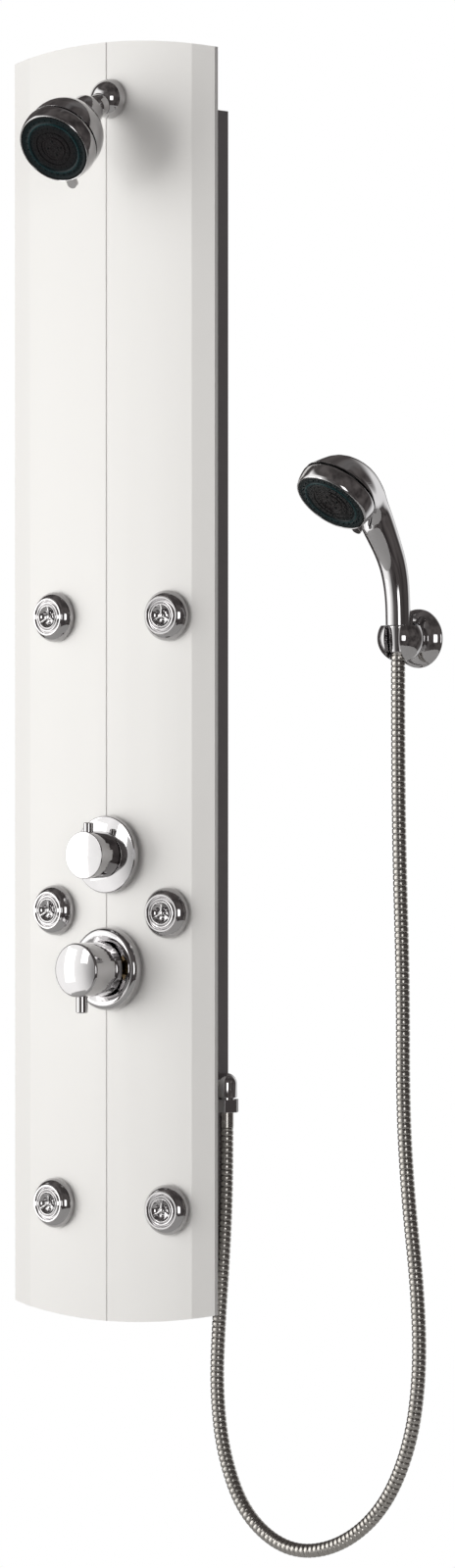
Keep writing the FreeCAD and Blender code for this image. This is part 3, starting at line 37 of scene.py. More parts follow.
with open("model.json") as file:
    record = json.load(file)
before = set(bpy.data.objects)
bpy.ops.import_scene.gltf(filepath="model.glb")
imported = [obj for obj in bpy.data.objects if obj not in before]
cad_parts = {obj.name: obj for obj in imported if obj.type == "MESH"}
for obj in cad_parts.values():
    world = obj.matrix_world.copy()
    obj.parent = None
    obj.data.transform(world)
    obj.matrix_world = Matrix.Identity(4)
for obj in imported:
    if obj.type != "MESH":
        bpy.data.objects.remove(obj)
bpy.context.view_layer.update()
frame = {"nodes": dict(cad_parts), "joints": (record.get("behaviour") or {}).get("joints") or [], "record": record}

NODES = frame["nodes"]
JOINTS = {joint["name"]: joint for joint in frame["joints"]}
SLOT_OF = {part["node"]: part["material_slot"] for part in frame["record"]["subparts"]}
BODY_OF = {node: body for body, nodes in frame["record"]["behaviour"]["bodies"].items() for node in nodes}

MILLIMETRE = 0.001
UP = Vector((0, 0, 1))


# ---------------------------------------------------------------- camera

PHOTO_HEIGHT = 1600
FOCAL_PIXELS = 5968
SENSOR_WIDTH = 36
CLIP_NEAR = 0.1
CLIP_FAR = 60
CAMERA_PLACE = Vector((3.7589, -4.6775, -0.5426))
CAMERA_HEADING = Vector((-0.6157, 0.788, 0)).normalized()
CAMERA_DIP = math.radians(0.586)


def photo_camera():
    """The camera as it stood for the photograph, a little right of the column and far off."""
    camera = bpy.data.objects.new("camera", bpy.data.cameras.new("camera"))
    bpy.context.scene.collection.objects.link(camera)
    camera.data.sensor_width = SENSOR_WIDTH
    camera.data.lens = SENSOR_WIDTH * FOCAL_PIXELS / PHOTO_HEIGHT
    camera.data.clip_start = CLIP_NEAR
    camera.data.clip_end = CLIP_FAR
    look = CAMERA_HEADING * math.cos(CAMERA_DIP) - UP * math.sin(CAMERA_DIP)
    camera.location = CAMERA_PLACE
    camera.rotation_euler = look.to_track_quat("-Z", "Y").to_euler()
    return camera


bpy.context.scene.camera = photo_camera()
bpy.context.scene.view_settings.view_transform = "Standard"


# ---------------------------------------------------------------- shader helpers

NOISE_ROUGHNESS = 0.55
# the sockets of a Mix node that is set to colours
MIX_FACTOR = 0
MIX_FIRST = 6
MIX_SECOND = 7
MIX_RESULT = 2


class Signal:
    """A node socket that can be used in plain sums."""

    def __init__(self, finish, socket):
        self.finish = finish
        self.socket = socket

    def __add__(self, other):
        return self.finish.maths("ADD", self, other)

    def __sub__(self, other):
        return self.finish.maths("SUBTRACT", self, other)

    def __rsub__(self, other):
        return self.finish.maths("SUBTRACT", other, self)

    def __mul__(self, other):
        return self.finish.maths("MULTIPLY", self, other)

    __radd__ = __add__
    __rmul__ = __mul__


class Finish:
    """A node tree under construction, for a material or for the world."""

    def __init__(self, block):
        block.use_nodes = True
        self.block = block
        self.tree = block.node_tree
        self.tree.nodes.clear()

    def node(self, kind, settings=None, sockets=None, out=0):
        """Adds a node with its settings, then links or sets its sockets, and gives one output."""
        node = self.tree.nodes.new("ShaderNode" + kind)
        for name, value in (settings or {}).items():
            if name == "stops":
                self.set_stops(node.color_ramp, value)
            else:
                setattr(node, name, value)
        for name, value in (sockets or {}).items():
            if isinstance(value, Signal):
                self.tree.links.new(value.socket, node.inputs[name])
            else:
                node.inputs[name].default_value = value
        return Signal(self, node.outputs[out]) if node.outputs else None

    @staticmethod
    def set_stops(ramp, stops):
        """Gives a ramp its stops, each a place with a grey level or a colour."""
        while len(ramp.elements) < len(stops):
            ramp.elements.new(0.5)
        for element, (place, level) in zip(ramp.elements, stops):
            colour = level if isinstance(level, tuple) else (level, level, level)
            element.position = place
            element.color = (*colour, 1)

    def maths(self, operation, first, second=0.0, clamp=False):
        return self.node("Math", {"operation": operation, "use_clamp": clamp}, {0: first, 1: second})

    def ramp(self, factor, stops):
        return self.node("ValToRGB", {"stops": stops}, {"Fac": factor})

    def mix(self, factor, first, second):
        """A blend of two colours, each a signal or three numbers."""
        first, second = (value if isinstance(value, Signal) else (*value, 1) for value in (first, second))
        sockets = {MIX_FACTOR: factor, MIX_FIRST: first, MIX_SECOND: second}
        return self.node("Mix", {"data_type": "RGBA"}, sockets, MIX_RESULT)

    def split(self, vector):
        """The three parts of a vector."""
        return [self.node("SeparateXYZ", {}, {"Vector": vector}, out) for out in range(3)]

    def place(self):
        return self.node("TexCoord", out="Object")

    def stretched(self, scale):
        """The place on the piece, scaled by its own number along each axis."""
        return self.node("Mapping", {"vector_type": "POINT"}, {"Vector": self.place(), "Scale": scale})

    def noise(self, scale, detail, vector=None):
        return self.node("TexNoise", {}, {"Vector": vector or self.place(), "Scale": scale,
                                          "Detail": detail, "Roughness": NOISE_ROUGHNESS})

    def bump(self, height, strength, depth):
        return self.node("Bump", {}, {"Height": height, "Strength": strength, "Distance": depth})

    def surface(self, **sockets):
        """Ends a material: sockets are named as on the shader, with _ for a space."""
        named = {name.replace("_", " "): value for name, value in sockets.items()}
        shader = self.node("BsdfPrincipled", {}, named)
        self.node("OutputMaterial", {}, {"Surface": shader})
        return self.block


def material(name):
    return Finish(bpy.data.materials.new(name))


# ---------------------------------------------------------------- finishes

# the darker and the paler tone of each finish
PANEL_TONES = ((0.925, 0.915, 0.895), (0.955, 0.945, 0.925))
BOX_TONES = ((0.165, 0.150, 0.153), (0.20, 0.182, 0.186))
CHROME_TONES = ((0.57, 0.56, 0.565), (0.64, 0.63, 0.635))
NECK_TONES = ((0.56, 0.55, 0.555), (0.62, 0.61, 0.615))
BRASS_TONES = ((0.52, 0.36, 0.14), (0.63, 0.45, 0.20))
ZINC_TONES = ((0.42, 0.43, 0.45), (0.56, 0.57, 0.59))
COPPER_TONES = ((0.50, 0.22, 0.13), (0.68, 0.33, 0.20))
HOSE_TONES = ((0.46, 0.44, 0.41), (0.58, 0.56, 0.53))
SEAT_TONES = ((0.78, 0.78, 0.75), (0.84, 0.84, 0.82))
NUB_TONES = ((0.002, 0.004, 0.005), (0.006, 0.010, 0.011))
FLOOR_TONES = ((0.80, 0.80, 0.79), (0.84, 0.84, 0.83))
DUST_TONE = (0.012, 0.014, 0.016)

# a spray face's colour by share of its radius: charcoal in the middle, then teal, then its dark rim
FACE_BANDS = [
    (0.0, (0.009, 0.007, 0.008)), (0.30, (0.012, 0.009, 0.010)), (0.62, (0.005, 0.005, 0.006)),
    (0.70, (0.003, 0.008, 0.010)), (0.755, (0.003, 0.020, 0.024)), (0.775, (0.006, 0.055, 0.060)),
    (0.80, (0.001, 0.013, 0.016)), (0.93, (0.001, 0.009, 0.011)), (1.0, (0.0005, 0.002, 0.0025)),
]
SPECK_STOPS = [(0.0, 0.0), (0.66, 0.0), (0.74, 1.0)]

GRAIN_DEPTH = 0.0002
POLISH_DEPTH = 0.0001
# Y in front of which the valves' necks are plated, just behind the panel's skin
PLATED_FROM = -0.048


def satin_panel():
    """Warm white sheet with a satin sheen."""
    f = material("satin_panel")
    grain = f.noise(scale=900, detail=2)
    cloud = f.noise(scale=6, detail=2)
    return f.surface(Base_Color=f.mix(cloud, *PANEL_TONES), Metallic=0.36,
                     Roughness=0.46 + grain * 0.06 + cloud * 0.04,
                     Normal=f.bump(grain, strength=0.05, depth=GRAIN_DEPTH))


def grey_box():
    """Dark powder coat of the back box."""
    f = material("grey_box")
    grain = f.noise(scale=700, detail=2)
    cloud = f.noise(scale=9, detail=3)
    return f.surface(Base_Color=f.mix(cloud, *BOX_TONES), Metallic=0.3, Roughness=0.42 + grain * 0.1,
                     Normal=f.bump(grain, strength=0.08, depth=GRAIN_DEPTH))


def polished_chrome():
    """Bright plating with a faint smear and a few specks of dried water."""
    f = material("polished_chrome")
    smear = f.noise(scale=60, detail=4)
    specks = f.ramp(f.noise(scale=1400, detail=1), SPECK_STOPS)
    return f.surface(Base_Color=f.mix(smear, *CHROME_TONES), Metallic=1.0,
                     Roughness=0.02 + smear * 0.035 + specks * 0.05,
                     Normal=f.bump(specks, strength=0.04, depth=POLISH_DEPTH))


def plated_valve():
    """Brass whose neck in front of the panel is plated like the knobs."""
    f = material("plated_valve")
    depth = f.split(f.place())[1]
    plated = f.maths("LESS_THAN", depth, PLATED_FROM)
    cloud = f.noise(scale=30, detail=3)
    colour = f.mix(plated, f.mix(cloud, *BRASS_TONES), f.mix(cloud, *NECK_TONES))
    return f.surface(Base_Color=colour, Metallic=1.0, Roughness=0.26 - plated * 0.2 + cloud * 0.06,
                     Normal=f.bump(cloud, strength=0.05, depth=GRAIN_DEPTH))


def galvanised_zinc():
    """Spangled zinc of the rails and hangers."""
    f = material("galvanised_zinc")
    cells = f.node("TexVoronoi", {}, {"Vector": f.place(), "Scale": 160.0}, "Color")
    tone = f.node("SeparateColor", {}, {"Color": cells})
    grain = f.noise(scale=500, detail=3)
    return f.surface(Base_Color=f.mix(tone, *ZINC_TONES), Metallic=0.9, Roughness=0.32 + grain * 0.2,
                     Normal=f.bump(grain, strength=0.1, depth=GRAIN_DEPTH))


def machined_brass():
    """Turned brass with fine rings round its upright axis."""
    f = material("machined_brass")
    rings = f.noise(scale=1.0, detail=2, vector=f.stretched((40, 40, 900)))
    cloud = f.noise(scale=30, detail=3)
    return f.surface(Base_Color=f.mix(cloud, *BRASS_TONES), Metallic=1.0, Roughness=0.24 + rings * 0.2,
                     Normal=f.bump(rings, strength=0.12, depth=GRAIN_DEPTH))


def drawn_copper():
    """Copper pipe with lengthwise drawing lines and a brown stain."""
    f = material("drawn_copper")
    lines = f.noise(scale=1.0, detail=3, vector=f.stretched((600, 600, 12)))
    stain = f.noise(scale=14, detail=4)
    return f.surface(Base_Color=f.mix(stain, *COPPER_TONES), Metallic=1.0, Roughness=0.26 + stain * 0.16,
                     Normal=f.bump(lines, strength=0.06, depth=GRAIN_DEPTH))


def black_face():
    """Smoked plastic: a teal outer band and rim, charcoal inside, from the face's own map."""
    f = material("black_face")
    share = f.split(f.node("UVMap", {"uv_map": "turning"}))[1]
    dust = f.noise(scale=500, detail=3)
    colour = f.mix(dust * 0.15, f.ramp(share, FACE_BANDS), DUST_TONE)
    return f.surface(Base_Color=colour, Roughness=0.20 + dust * 0.14, Specular_IOR_Level=0.22,
                     Normal=f.bump(dust, strength=0.04, depth=POLISH_DEPTH))


def rubber_nub():
    """Dark rubber of the spray nubs."""
    f = material("rubber_nub")
    dust = f.noise(scale=900, detail=2)
    return f.surface(Base_Color=f.mix(dust, *NUB_TONES), Roughness=0.4 + dust * 0.15, Specular_IOR_Level=0.2)


def ribbed_steel():
    """Bright steel of the hose and its ferrule."""
    f = material("ribbed_steel")
    smear = f.noise(scale=120, detail=3)
    return f.surface(Base_Color=f.mix(smear, *HOSE_TONES), Metallic=1.0, Roughness=0.20 + smear * 0.12)


def moulded_seat():
    """Pale plastic of the ball seat."""
    f = material("moulded_seat")
    grain = f.noise(scale=800, detail=2)
    return f.surface(Base_Color=f.mix(grain, *SEAT_TONES), Roughness=0.45 + grain * 0.1,
                     Normal=f.bump(grain, strength=0.05, depth=GRAIN_DEPTH))


def pale_floor():
    """Plain matt floor."""
    f = material("pale_floor")
    grain = f.noise(scale=40, detail=3)
    return f.surface(Base_Color=f.mix(grain, *FLOOR_TONES), Roughness=0.7)


FINISHES = {
    "panel": satin_panel(),
    "box": grey_box(),
    "chrome": polished_chrome(),
    "zinc": galvanised_zinc(),
    "brass": machined_brass(),
    "pipe": drawn_copper(),
    "spray_face": black_face(),
    "hose": ribbed_steel(),
    "seat": moulded_seat(),
}
VALVE_FINISH = plated_valve()
VALVES = ("diverter_body", "mixer_body")

for name, node in NODES.items():
    node.data.materials.clear()
    node.data.materials.append(VALVE_FINISH if name in VALVES else FINISHES[SLOT_OF[name]])


# ---------------------------------------------------------------- pieces

SMOOTH_BELOW = math.radians(34)


def shown(name, mesh, finish):
    """Puts a mesh in the scene, in one finish."""
    thing = bpy.data.objects.new(name, mesh)
    bpy.context.scene.collection.objects.link(thing)
    mesh.materials.clear()
    mesh.materials.append(finish)
    return thing


def applied(thing):
    """The same object with its modifiers worked into its mesh."""
    made = bpy.data.meshes.new_from_object(thing.evaluated_get(bpy.context.evaluated_depsgraph_get()))
    thing.modifiers.clear()
    old = thing.data
    thing.data = made
    bpy.data.meshes.remove(old)
    return thing


def smoothed(mesh):
    """Shades a mesh smooth up to its real edges."""
    mesh.shade_smooth()
    mesh.set_sharp_from_angle(angle=SMOOTH_BELOW)


def stands_for(piece, node):
    """Lets a piece take a CAD node's place and body: the piece joins the node's body and the node is hidden."""
    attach(piece, BODY_OF[node])
    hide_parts(node)


def stand_at(place, ahead):
    """A stand for a turned piece: its Z points ahead and its X is level."""
    ahead = Vector(ahead).normalized()
    level = UP.cross(ahead).normalized()
    turn = Matrix((level, ahead.cross(level), ahead)).transposed()
    return Matrix.Translation(place) @ turn.to_4x4()


# ---------------------------------------------------------------- plated pieces

EDGE_BREAK = 0.00025
EDGE_SEGMENTS = 2
MERGE_WITHIN = 0.00001
FLAT_WITHIN = math.radians(0.3)


def polished(node):
    """A plated piece as a buffed surface: one smooth skin with its edges just broken."""
    shape = bmesh.new()
    shape.from_mesh(NODES[node].data)
    bmesh.ops.remove_doubles(shape, verts=shape.verts, dist=MERGE_WITHIN)
    bmesh.ops.dissolve_limit(shape, angle_limit=FLAT_WITHIN, verts=shape.verts, edges=shape.edges)
    mesh = bpy.data.meshes.new("polished_" + node)
    shape.to_mesh(mesh)
    shape.free()
    smoothed(mesh)
    piece = shown("polished_" + node, mesh, FINISHES[SLOT_OF[node]])
    broken = piece.modifiers.new("edges", "BEVEL")
    broken.width = EDGE_BREAK
    broken.segments = EDGE_SEGMENTS
    broken.limit_method = "ANGLE"
    broken.angle_limit = SMOOTH_BELOW
    broken.harden_normals = True
    stands_for(applied(piece), node)


for node, slot in SLOT_OF.items():
    if slot == "chrome" and not node.startswith("jet_"):
        polished(node)


# ---------------------------------------------------------------- turned pieces

SAME_POINT = 0.000001


def turned(name, outline, sides, stand, finish):
    """A closed turned piece from (radius, height) points in millimetres.

    Its map, turning, holds each corner's share of a turn and of the widest radius.
    """
    profile = [(radius * MILLIMETRE, height * MILLIMETRE) for radius, height in outline]
    widest = max(radius for radius, height in profile)
    vertices, rings, faces, spots = [], [], [], []
    for radius, height in profile:
        if radius == 0:
            rings.append([len(vertices)] * sides)
            vertices.append(stand @ Vector((0, 0, height)))
            continue
        rings.append(range(len(vertices), len(vertices) + sides))
        for side in range(sides):
            angle = math.tau * side / sides
            vertices.append(stand @ Vector((radius * math.cos(angle), radius * math.sin(angle), height)))
    for (near, far), (start, end) in zip(zip(rings, rings[1:]), zip(profile, profile[1:])):
        for side in range(sides):
            beside = (side + 1) % sides
            corners = [(near[side], side, start), (far[side], side, end),
                       (far[beside], side + 1, end), (near[beside], side + 1, start)]
            kept = [corner for place, corner in enumerate(corners) if corner[0] != corners[place - 1][0]]
            faces.append([vertex for vertex, step, ring in kept])
            spots.append([(step / sides, ring[0] / widest) for vertex, step, ring in kept])
    mesh = bpy.data.meshes.new(name)
    mesh.from_pydata(vertices, [], faces)
    layer = mesh.uv_layers.new(name="turning")
    for face, corners in zip(mesh.polygons, spots):
        for loop, spot in zip(face.loop_indices, corners):
            layer.data[loop].uv = spot
    shape = bmesh.new()
    shape.from_mesh(mesh)
    bmesh.ops.remove_doubles(shape, verts=shape.verts, dist=SAME_POINT)
    bmesh.ops.recalc_face_normals(shape, faces=shape.faces)
    shape.to_mesh(mesh)
    shape.free()
    smoothed(mesh)
    return shown(name, mesh, finish)


# ---------------------------------------------------------------- spray faces

FACE_SIDES = 96
# radius and height from the middle of the face's front out to its rim, and round to its back
FACE_OUTLINE = [
    (0, -0.9), (3.4, -0.9), (3.8, -0.5), (4.4, -0.5), (4.8, -1.0), (10.6, -1.0), (11.0, -0.5), (11.8, -0.5),
    (12.3, -1.3), (13.6, -1.3), (14.1, -0.6), (17.2, -0.6), (17.7, -1.4), (19.0, -1.4), (19.5, -0.6),
    (24.6, -0.6), (25.0, -1.0), (25.6, -1.0), (26.0, -0.4), (27.2, 0.15), (28.2, 0.15), (28.8, -0.5),
    (29.6, -0.9), (33.2, -0.7), (34.6, -0.3), (35.6, -0.35), (36.3, -1.1),
    (36.3, -18.9), (33.5, -18.9), (33.5, -4.3), (0, -4.3),
]

NUB_SIDES = 12
NUB_TAPER = 0.6
NUB_RINGS = [
    {"Count": 28, "Ring radius": 0.0312, "Nub radius": 0.0008, "Nub height": 0.0011, "Lift": -0.0011},
    {"Count": 20, "Ring radius": 0.0222, "Nub radius": 0.0007, "Nub height": 0.0010, "Lift": -0.0009},
    {"Count": 14, "Ring radius": 0.0156, "Nub radius": 0.0007, "Nub height": 0.0010, "Lift": -0.0009},
    {"Count": 4, "Ring radius": 0.0076, "Nub radius": 0.0014, "Nub height": 0.0012, "Lift": -0.0013},
]


def nub_tree(finish):
    """Geometry nodes for one ring of tapered nubs, with the ring's sizes as inputs."""
    tree = bpy.data.node_groups.new("nub_ring", "GeometryNodeTree")
    tree.interface.new_socket("Geometry", in_out="OUTPUT", socket_type="NodeSocketGeometry")
    tree.interface.new_socket("Count", in_out="INPUT", socket_type="NodeSocketInt")
    for label in ("Ring radius", "Nub radius", "Nub height", "Lift"):
        tree.interface.new_socket(label, in_out="INPUT", socket_type="NodeSocketFloat")

    def add(kind, sockets=None, **settings):
        node = tree.nodes.new(kind)
        for key, value in settings.items():
            setattr(node, key, value)
        for key, value in (sockets or {}).items():
            if isinstance(value, bpy.types.NodeSocket):
                tree.links.new(value, node.inputs[key])
            else:
                node.inputs[key].default_value = value
        return node.outputs

    given = add("NodeGroupInput")
    circle = add("GeometryNodeMeshCircle", {"Vertices": given["Count"], "Radius": given["Ring radius"]})
    tip = add("ShaderNodeMath", {0: given["Nub radius"], 1: NUB_TAPER}, operation="MULTIPLY")
    nub = add("GeometryNodeMeshCone", {"Vertices": NUB_SIDES, "Side Segments": 2, "Fill Segments": 1,
                                       "Radius Bottom": given["Nub radius"], "Radius Top": tip[0],
                                       "Depth": given["Nub height"]}, fill_type="TRIANGLE_FAN")
    placed = add("GeometryNodeInstanceOnPoints", {"Points": circle[0], "Instance": nub[0]})
    lift = add("ShaderNodeCombineXYZ", {"Z": given["Lift"]})
    lifted = add("GeometryNodeTranslateInstances", {"Instances": placed[0], "Translation": lift[0],
                                                    "Local Space": False})
    real = add("GeometryNodeRealizeInstances", {"Geometry": lifted[0]})
    smooth = add("GeometryNodeSetShadeSmooth", {"Geometry": real[0]})
    dressed = add("GeometryNodeSetMaterial", {"Geometry": smooth[0], "Material": finish})
    add("NodeGroupOutput", {0: dressed[0]})
    return tree


NUB_TREE = nub_tree(rubber_nub())
NUB_INPUTS = {item.name: item.identifier for item in NUB_TREE.interface.items_tree if item.in_out == "INPUT"}


def ring_of_nubs(name, stand, sizes):
    """One ring of rubber nubs as a plain mesh on the face's stand."""
    thing = bpy.data.objects.new(name, bpy.data.meshes.new(name))
    bpy.context.scene.collection.objects.link(thing)
    modifier = thing.modifiers.new("nubs", "NODES")
    modifier.node_group = NUB_TREE
    for label, value in sizes.items():
        modifier[NUB_INPUTS[label]] = value
    applied(thing)
    thing.data.transform(stand)
    return thing


def spray_face(node, selector):
    """A turned spray face with its rings of nubs, on the axis of the selector ring round it."""
    stand = stand_at(selector["pos_m"], selector["axis"])
    stands_for(turned("turned_" + node, FACE_OUTLINE, FACE_SIDES, stand, FINISHES["spray_face"]), node)
    for index, sizes in enumerate(NUB_RINGS):
        nubs = ring_of_nubs(f"nubs_{node}_{index}", stand, sizes)
        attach(nubs, BODY_OF[node])


spray_face("head_face", JOINTS["head_selector_turn"])
spray_face("handset_face", JOINTS["handset_selector_turn"])


# ---------------------------------------------------------------- body jets, in millimetres

JET_ROWS = ("upper", "middle", "lower")
JET_COLUMNS = ("left", "right")
HOUSING_SIDES = 72
NOZZLE_SIDES = 56
# how far the tilt joint and the ball's middle lie ahead of the panel
TILT_AHEAD = 7.05
BALL_AHEAD = 7.0
BALL_RADIUS = 14.0
SOCKET_RADIUS = 14.15

HOLE_TURNS = (30, 150, 270)
HOLE_PLACE = 6.6
HOLE_RADIUS = 2.3
HOLE_LENGTH = 9.0
HOLE_MIDDLE = 3.5
HOLE_SIDES = 24

ARM_TURNS = (90, 210, 330)
# distance from the middle, half width, top and foot of a web arm, from its root to its end
ARM_STATIONS = [(1.6, 1.5, 5.9, 2.0), (4.5, 1.5, 5.7, 2.0), (7.5, 1.6, 6.0, 2.6), (9.4, 1.9, 6.5, 4.0),
                (11.0, 2.3, 7.0, 5.6)]
# an arm's round-topped section, as shares of its half width and of its rise from foot to top
ARM_SECTION = [(-1, 0), (-0.92, 0.6), (-0.55, 0.92), (0, 1), (0.55, 0.92), (0.92, 0.6), (1, 0)]


def bowed(start, end, radius, steps):
    """Points on an arc between two points, bulging away from the axis."""
    start, end = Vector(start), Vector(end)
    middle = (start + end) / 2
    along = (end - start).normalized()
    inward = Vector((-along.y, along.x))
    centre = middle + inward * math.sqrt(radius ** 2 - (end - start).length_squared / 4)
    first = math.atan2(start.y - centre.y, start.x - centre.x)
    last = math.atan2(end.y - centre.y, end.x - centre.x)
    angles = [first + (last - first) * step / steps for step in range(steps + 1)]
    return [(centre.x + radius * math.cos(angle), centre.y + radius * math.sin(angle)) for angle in angles]


def ball_zone(radius, centre, top, bottom, steps):
    """Points down a ball's side between two heights above its centre."""
    heights = [top + (bottom - top) * step / steps for step in range(steps + 1)]
    return [(math.sqrt(radius ** 2 - height ** 2), centre + height) for height in heights]


# from the rim at the panel over the dome, across the grooved front and down the socket to the tail
HOUSING_OUTLINE = [
    (25.2, 0.2), (25.6, 0.8), *bowed((25.6, 4.2), (19.5, 12.6), radius=13.5, steps=12),
    (19.2, 13.3), (18.9, 13.8), (18.7, 14.0), (17.5, 14.0), (17.3, 13.85), (16.1, 11.9), (14.9, 13.85),
    (14.7, 14.0), (13.7, 14.0), (13.4, 13.8),
    *ball_zone(SOCKET_RADIUS, BALL_AHEAD, top=5.8, bottom=-11, steps=10),
    (5, -4), (5, -13), (8, -13), (8, -8), (14, -8), (14, 0.2), (25.2, 0.2),
]
# from the back of the ball up its side, over the lip and down into the bowl with its middle knob
BOWL_OUTLINE = [
    (0, -8.5), *reversed(ball_zone(BALL_RADIUS, 0, top=7.0, bottom=-8.5, steps=12)),
    (11.9, 7.17), (11.5, 7.2), (11.1, 7.05), (10.8, 6.6), (10.4, 5.9), (9.5, 4.8), (8.3, 3.8), (6.8, 3.1),
    (5.0, 2.7), (3.9, 2.8), (3.4, 3.4), (3.1, 4.4), (2.5, 5.3), (1.4, 5.9), (0, 6.1),
]


def turn_about_jet(degrees):
    return Matrix.Rotation(math.radians(degrees), 4, "Z")


def web_arm(degrees):
    """One rounded arm of the nozzle's web, as points in metres and faces."""
    turn = turn_about_jet(degrees)
    points = []
    for reach, half, top, foot in ARM_STATIONS:
        points += [turn @ Vector((reach, side * half, foot + (top - foot) * rise)) * MILLIMETRE
                   for side, rise in ARM_SECTION]
    count = len(ARM_SECTION)
    faces = [tuple(range(count))[::-1], tuple(range(len(points) - count, len(points)))]
    for start in range(0, len(points) - count, count):
        for side in range(count):
            beside = (side + 1) % count
            faces.append((start + side, start + beside, start + count + beside, start + count + side))
    return points, faces


def drill_bits():
    """Three rods where the nozzle's holes are bored."""
    shape = bmesh.new()
    for degrees in HOLE_TURNS:
        place = Vector((HOLE_PLACE, 0, HOLE_MIDDLE)) * MILLIMETRE
        bmesh.ops.create_cone(shape, cap_ends=True, segments=HOLE_SIDES, radius1=HOLE_RADIUS * MILLIMETRE,
                              radius2=HOLE_RADIUS * MILLIMETRE, depth=HOLE_LENGTH * MILLIMETRE,
                              matrix=turn_about_jet(degrees) @ Matrix.Translation(place))
    mesh = bpy.data.meshes.new("drill")
    shape.to_mesh(mesh)
    shape.free()
    return shown("drill", mesh, FINISHES["chrome"])


def nozzle_mesh():
    """The ball nozzle: a bowl bored with three holes and a three-armed web over it."""
    bowl = turned("nozzle_bowl", BOWL_OUTLINE, NOZZLE_SIDES, Matrix(), FINISHES["chrome"])
    drill = drill_bits()
    bored = bowl.modifiers.new("holes", "BOOLEAN")
    bored.object = drill
    bored.operation = "DIFFERENCE"
    applied(bowl)
    bpy.data.objects.remove(drill)
    shape = bmesh.new()
    shape.from_mesh(bowl.data)
    bpy.data.objects.remove(bowl)
    for degrees in ARM_TURNS:
        points, faces = web_arm(degrees)
        corners = [shape.verts.new(point) for point in points]
        for face in faces:
            shape.faces.new([corners[corner] for corner in face])
    bmesh.ops.recalc_face_normals(shape, faces=shape.faces)
    mesh = bpy.data.meshes.new("nozzle")
    shape.to_mesh(mesh)
    shape.free()
    smoothed(mesh)
    return mesh


def body_jet(place, nozzle):
    """A domed housing and its ball nozzle, placed from the jet's tilt joint."""
    tilt = JOINTS["jet_tilt_" + place]
    stand = stand_at(tilt["pos_m"], Vector(tilt["axis"]).cross(UP))
    face = stand @ Matrix.Translation((0, 0, -TILT_AHEAD * MILLIMETRE))
    ball = face @ Matrix.Translation((0, 0, BALL_AHEAD * MILLIMETRE))
    housing = turned("domed_housing_" + place, HOUSING_OUTLINE, HOUSING_SIDES, face, FINISHES["chrome"])
    stands_for(housing, "jet_housing_" + place)
    mesh = nozzle.copy()
    mesh.transform(ball)
    stands_for(shown("ball_nozzle_" + place, mesh, FINISHES["chrome"]), "jet_nozzle_" + place)


def body_jets():
    nozzle = nozzle_mesh()
    for row in JET_ROWS:
        for column in JET_COLUMNS:
            body_jet(f"{row}_{column}", nozzle)


body_jets()


# ---------------------------------------------------------------- hose

HOSE_WIDTH = 0.014
HOSE_BORE = 0.0084
HOSE_SIDES = 20
HOSE_RIBS = 253
# the plain ends: their width, their length and the length left for each of them
HOSE_END_WIDTH = 0.01344
HOSE_END = 0.0018
HOSE_END_ROOM = 0.002
# one rib, as shares of its pitch and of the hose's radius
RIB_SHAPE = [(0.03, 0.83), (0.10, 0.965), (0.28, 1.0), (0.72, 1.0), (0.90, 0.965), (0.97, 0.83)]
# from the outlet down, round the loop and up to the handset
HOSE_ROUTE = [
    (0.124, -0.027, -0.9503), (0.124, -0.027, -1.010), (0.120, -0.027, -1.080), (0.114, -0.027, -1.150),
    (0.111, -0.027, -1.216), (0.120, -0.027, -1.282), (0.148, -0.027, -1.341), (0.203, -0.0275, -1.373),
    (0.266, -0.028, -1.363), (0.322, -0.0285, -1.321), (0.356, -0.029, -1.254), (0.368, -0.0295, -1.178),
    (0.3645, -0.030, -1.095), (0.354, -0.0305, -1.013), (0.348, -0.0315, -0.920), (0.349, -0.0325, -0.800),
    (0.345, -0.0335, -0.670), (0.3446, -0.035, -0.560), (0.3446, -0.035, -0.4722),
]
ROUTE_RESOLUTION = 24
# the steady direction from which every ring of the hose is turned round its line
TOWARDS_ROOM = Vector((0, -1, 0))


def route_line():
    """The smooth line through the hose's route, as closely spaced points."""
    curve = bpy.data.curves.new("hose_route", "CURVE")
    curve.dimensions = "3D"
    spline = curve.splines.new("NURBS")
    spline.points.add(len(HOSE_ROUTE) - 1)
    for point, place in zip(spline.points, HOSE_ROUTE):
        point.co = (*place, 1)
    spline.order_u = 3
    spline.use_endpoint_u = True
    spline.resolution_u = ROUTE_RESOLUTION
    holder = bpy.data.objects.new("hose_route", curve)
    bpy.context.scene.collection.objects.link(holder)
    mesh = bpy.data.meshes.new_from_object(holder)
    line = [vertex.co.copy() for vertex in mesh.vertices]
    bpy.data.objects.remove(holder)
    bpy.data.meshes.remove(mesh)
    return line


def lengths_along(line):
    """How far along a line each of its points lies."""
    lengths = [0.0]
    for before, after in zip(line, line[1:]):
        lengths.append(lengths[-1] + (after - before).length)
    return lengths


def stations_along(line, distances):
    """Points and directions at rising distances along a line."""
    lengths = lengths_along(line)
    found = []
    index = 0
    for distance in distances:
        while index < len(line) - 2 and distance > lengths[index + 1]:
            index += 1
        share = (distance - lengths[index]) / (lengths[index + 1] - lengths[index])
        spot = line[index].lerp(line[index + 1], share)
        ahead = (line[min(index + 2, len(line) - 1)] - line[max(index - 1, 0)]).normalized()
        found.append((spot, ahead))
    return found


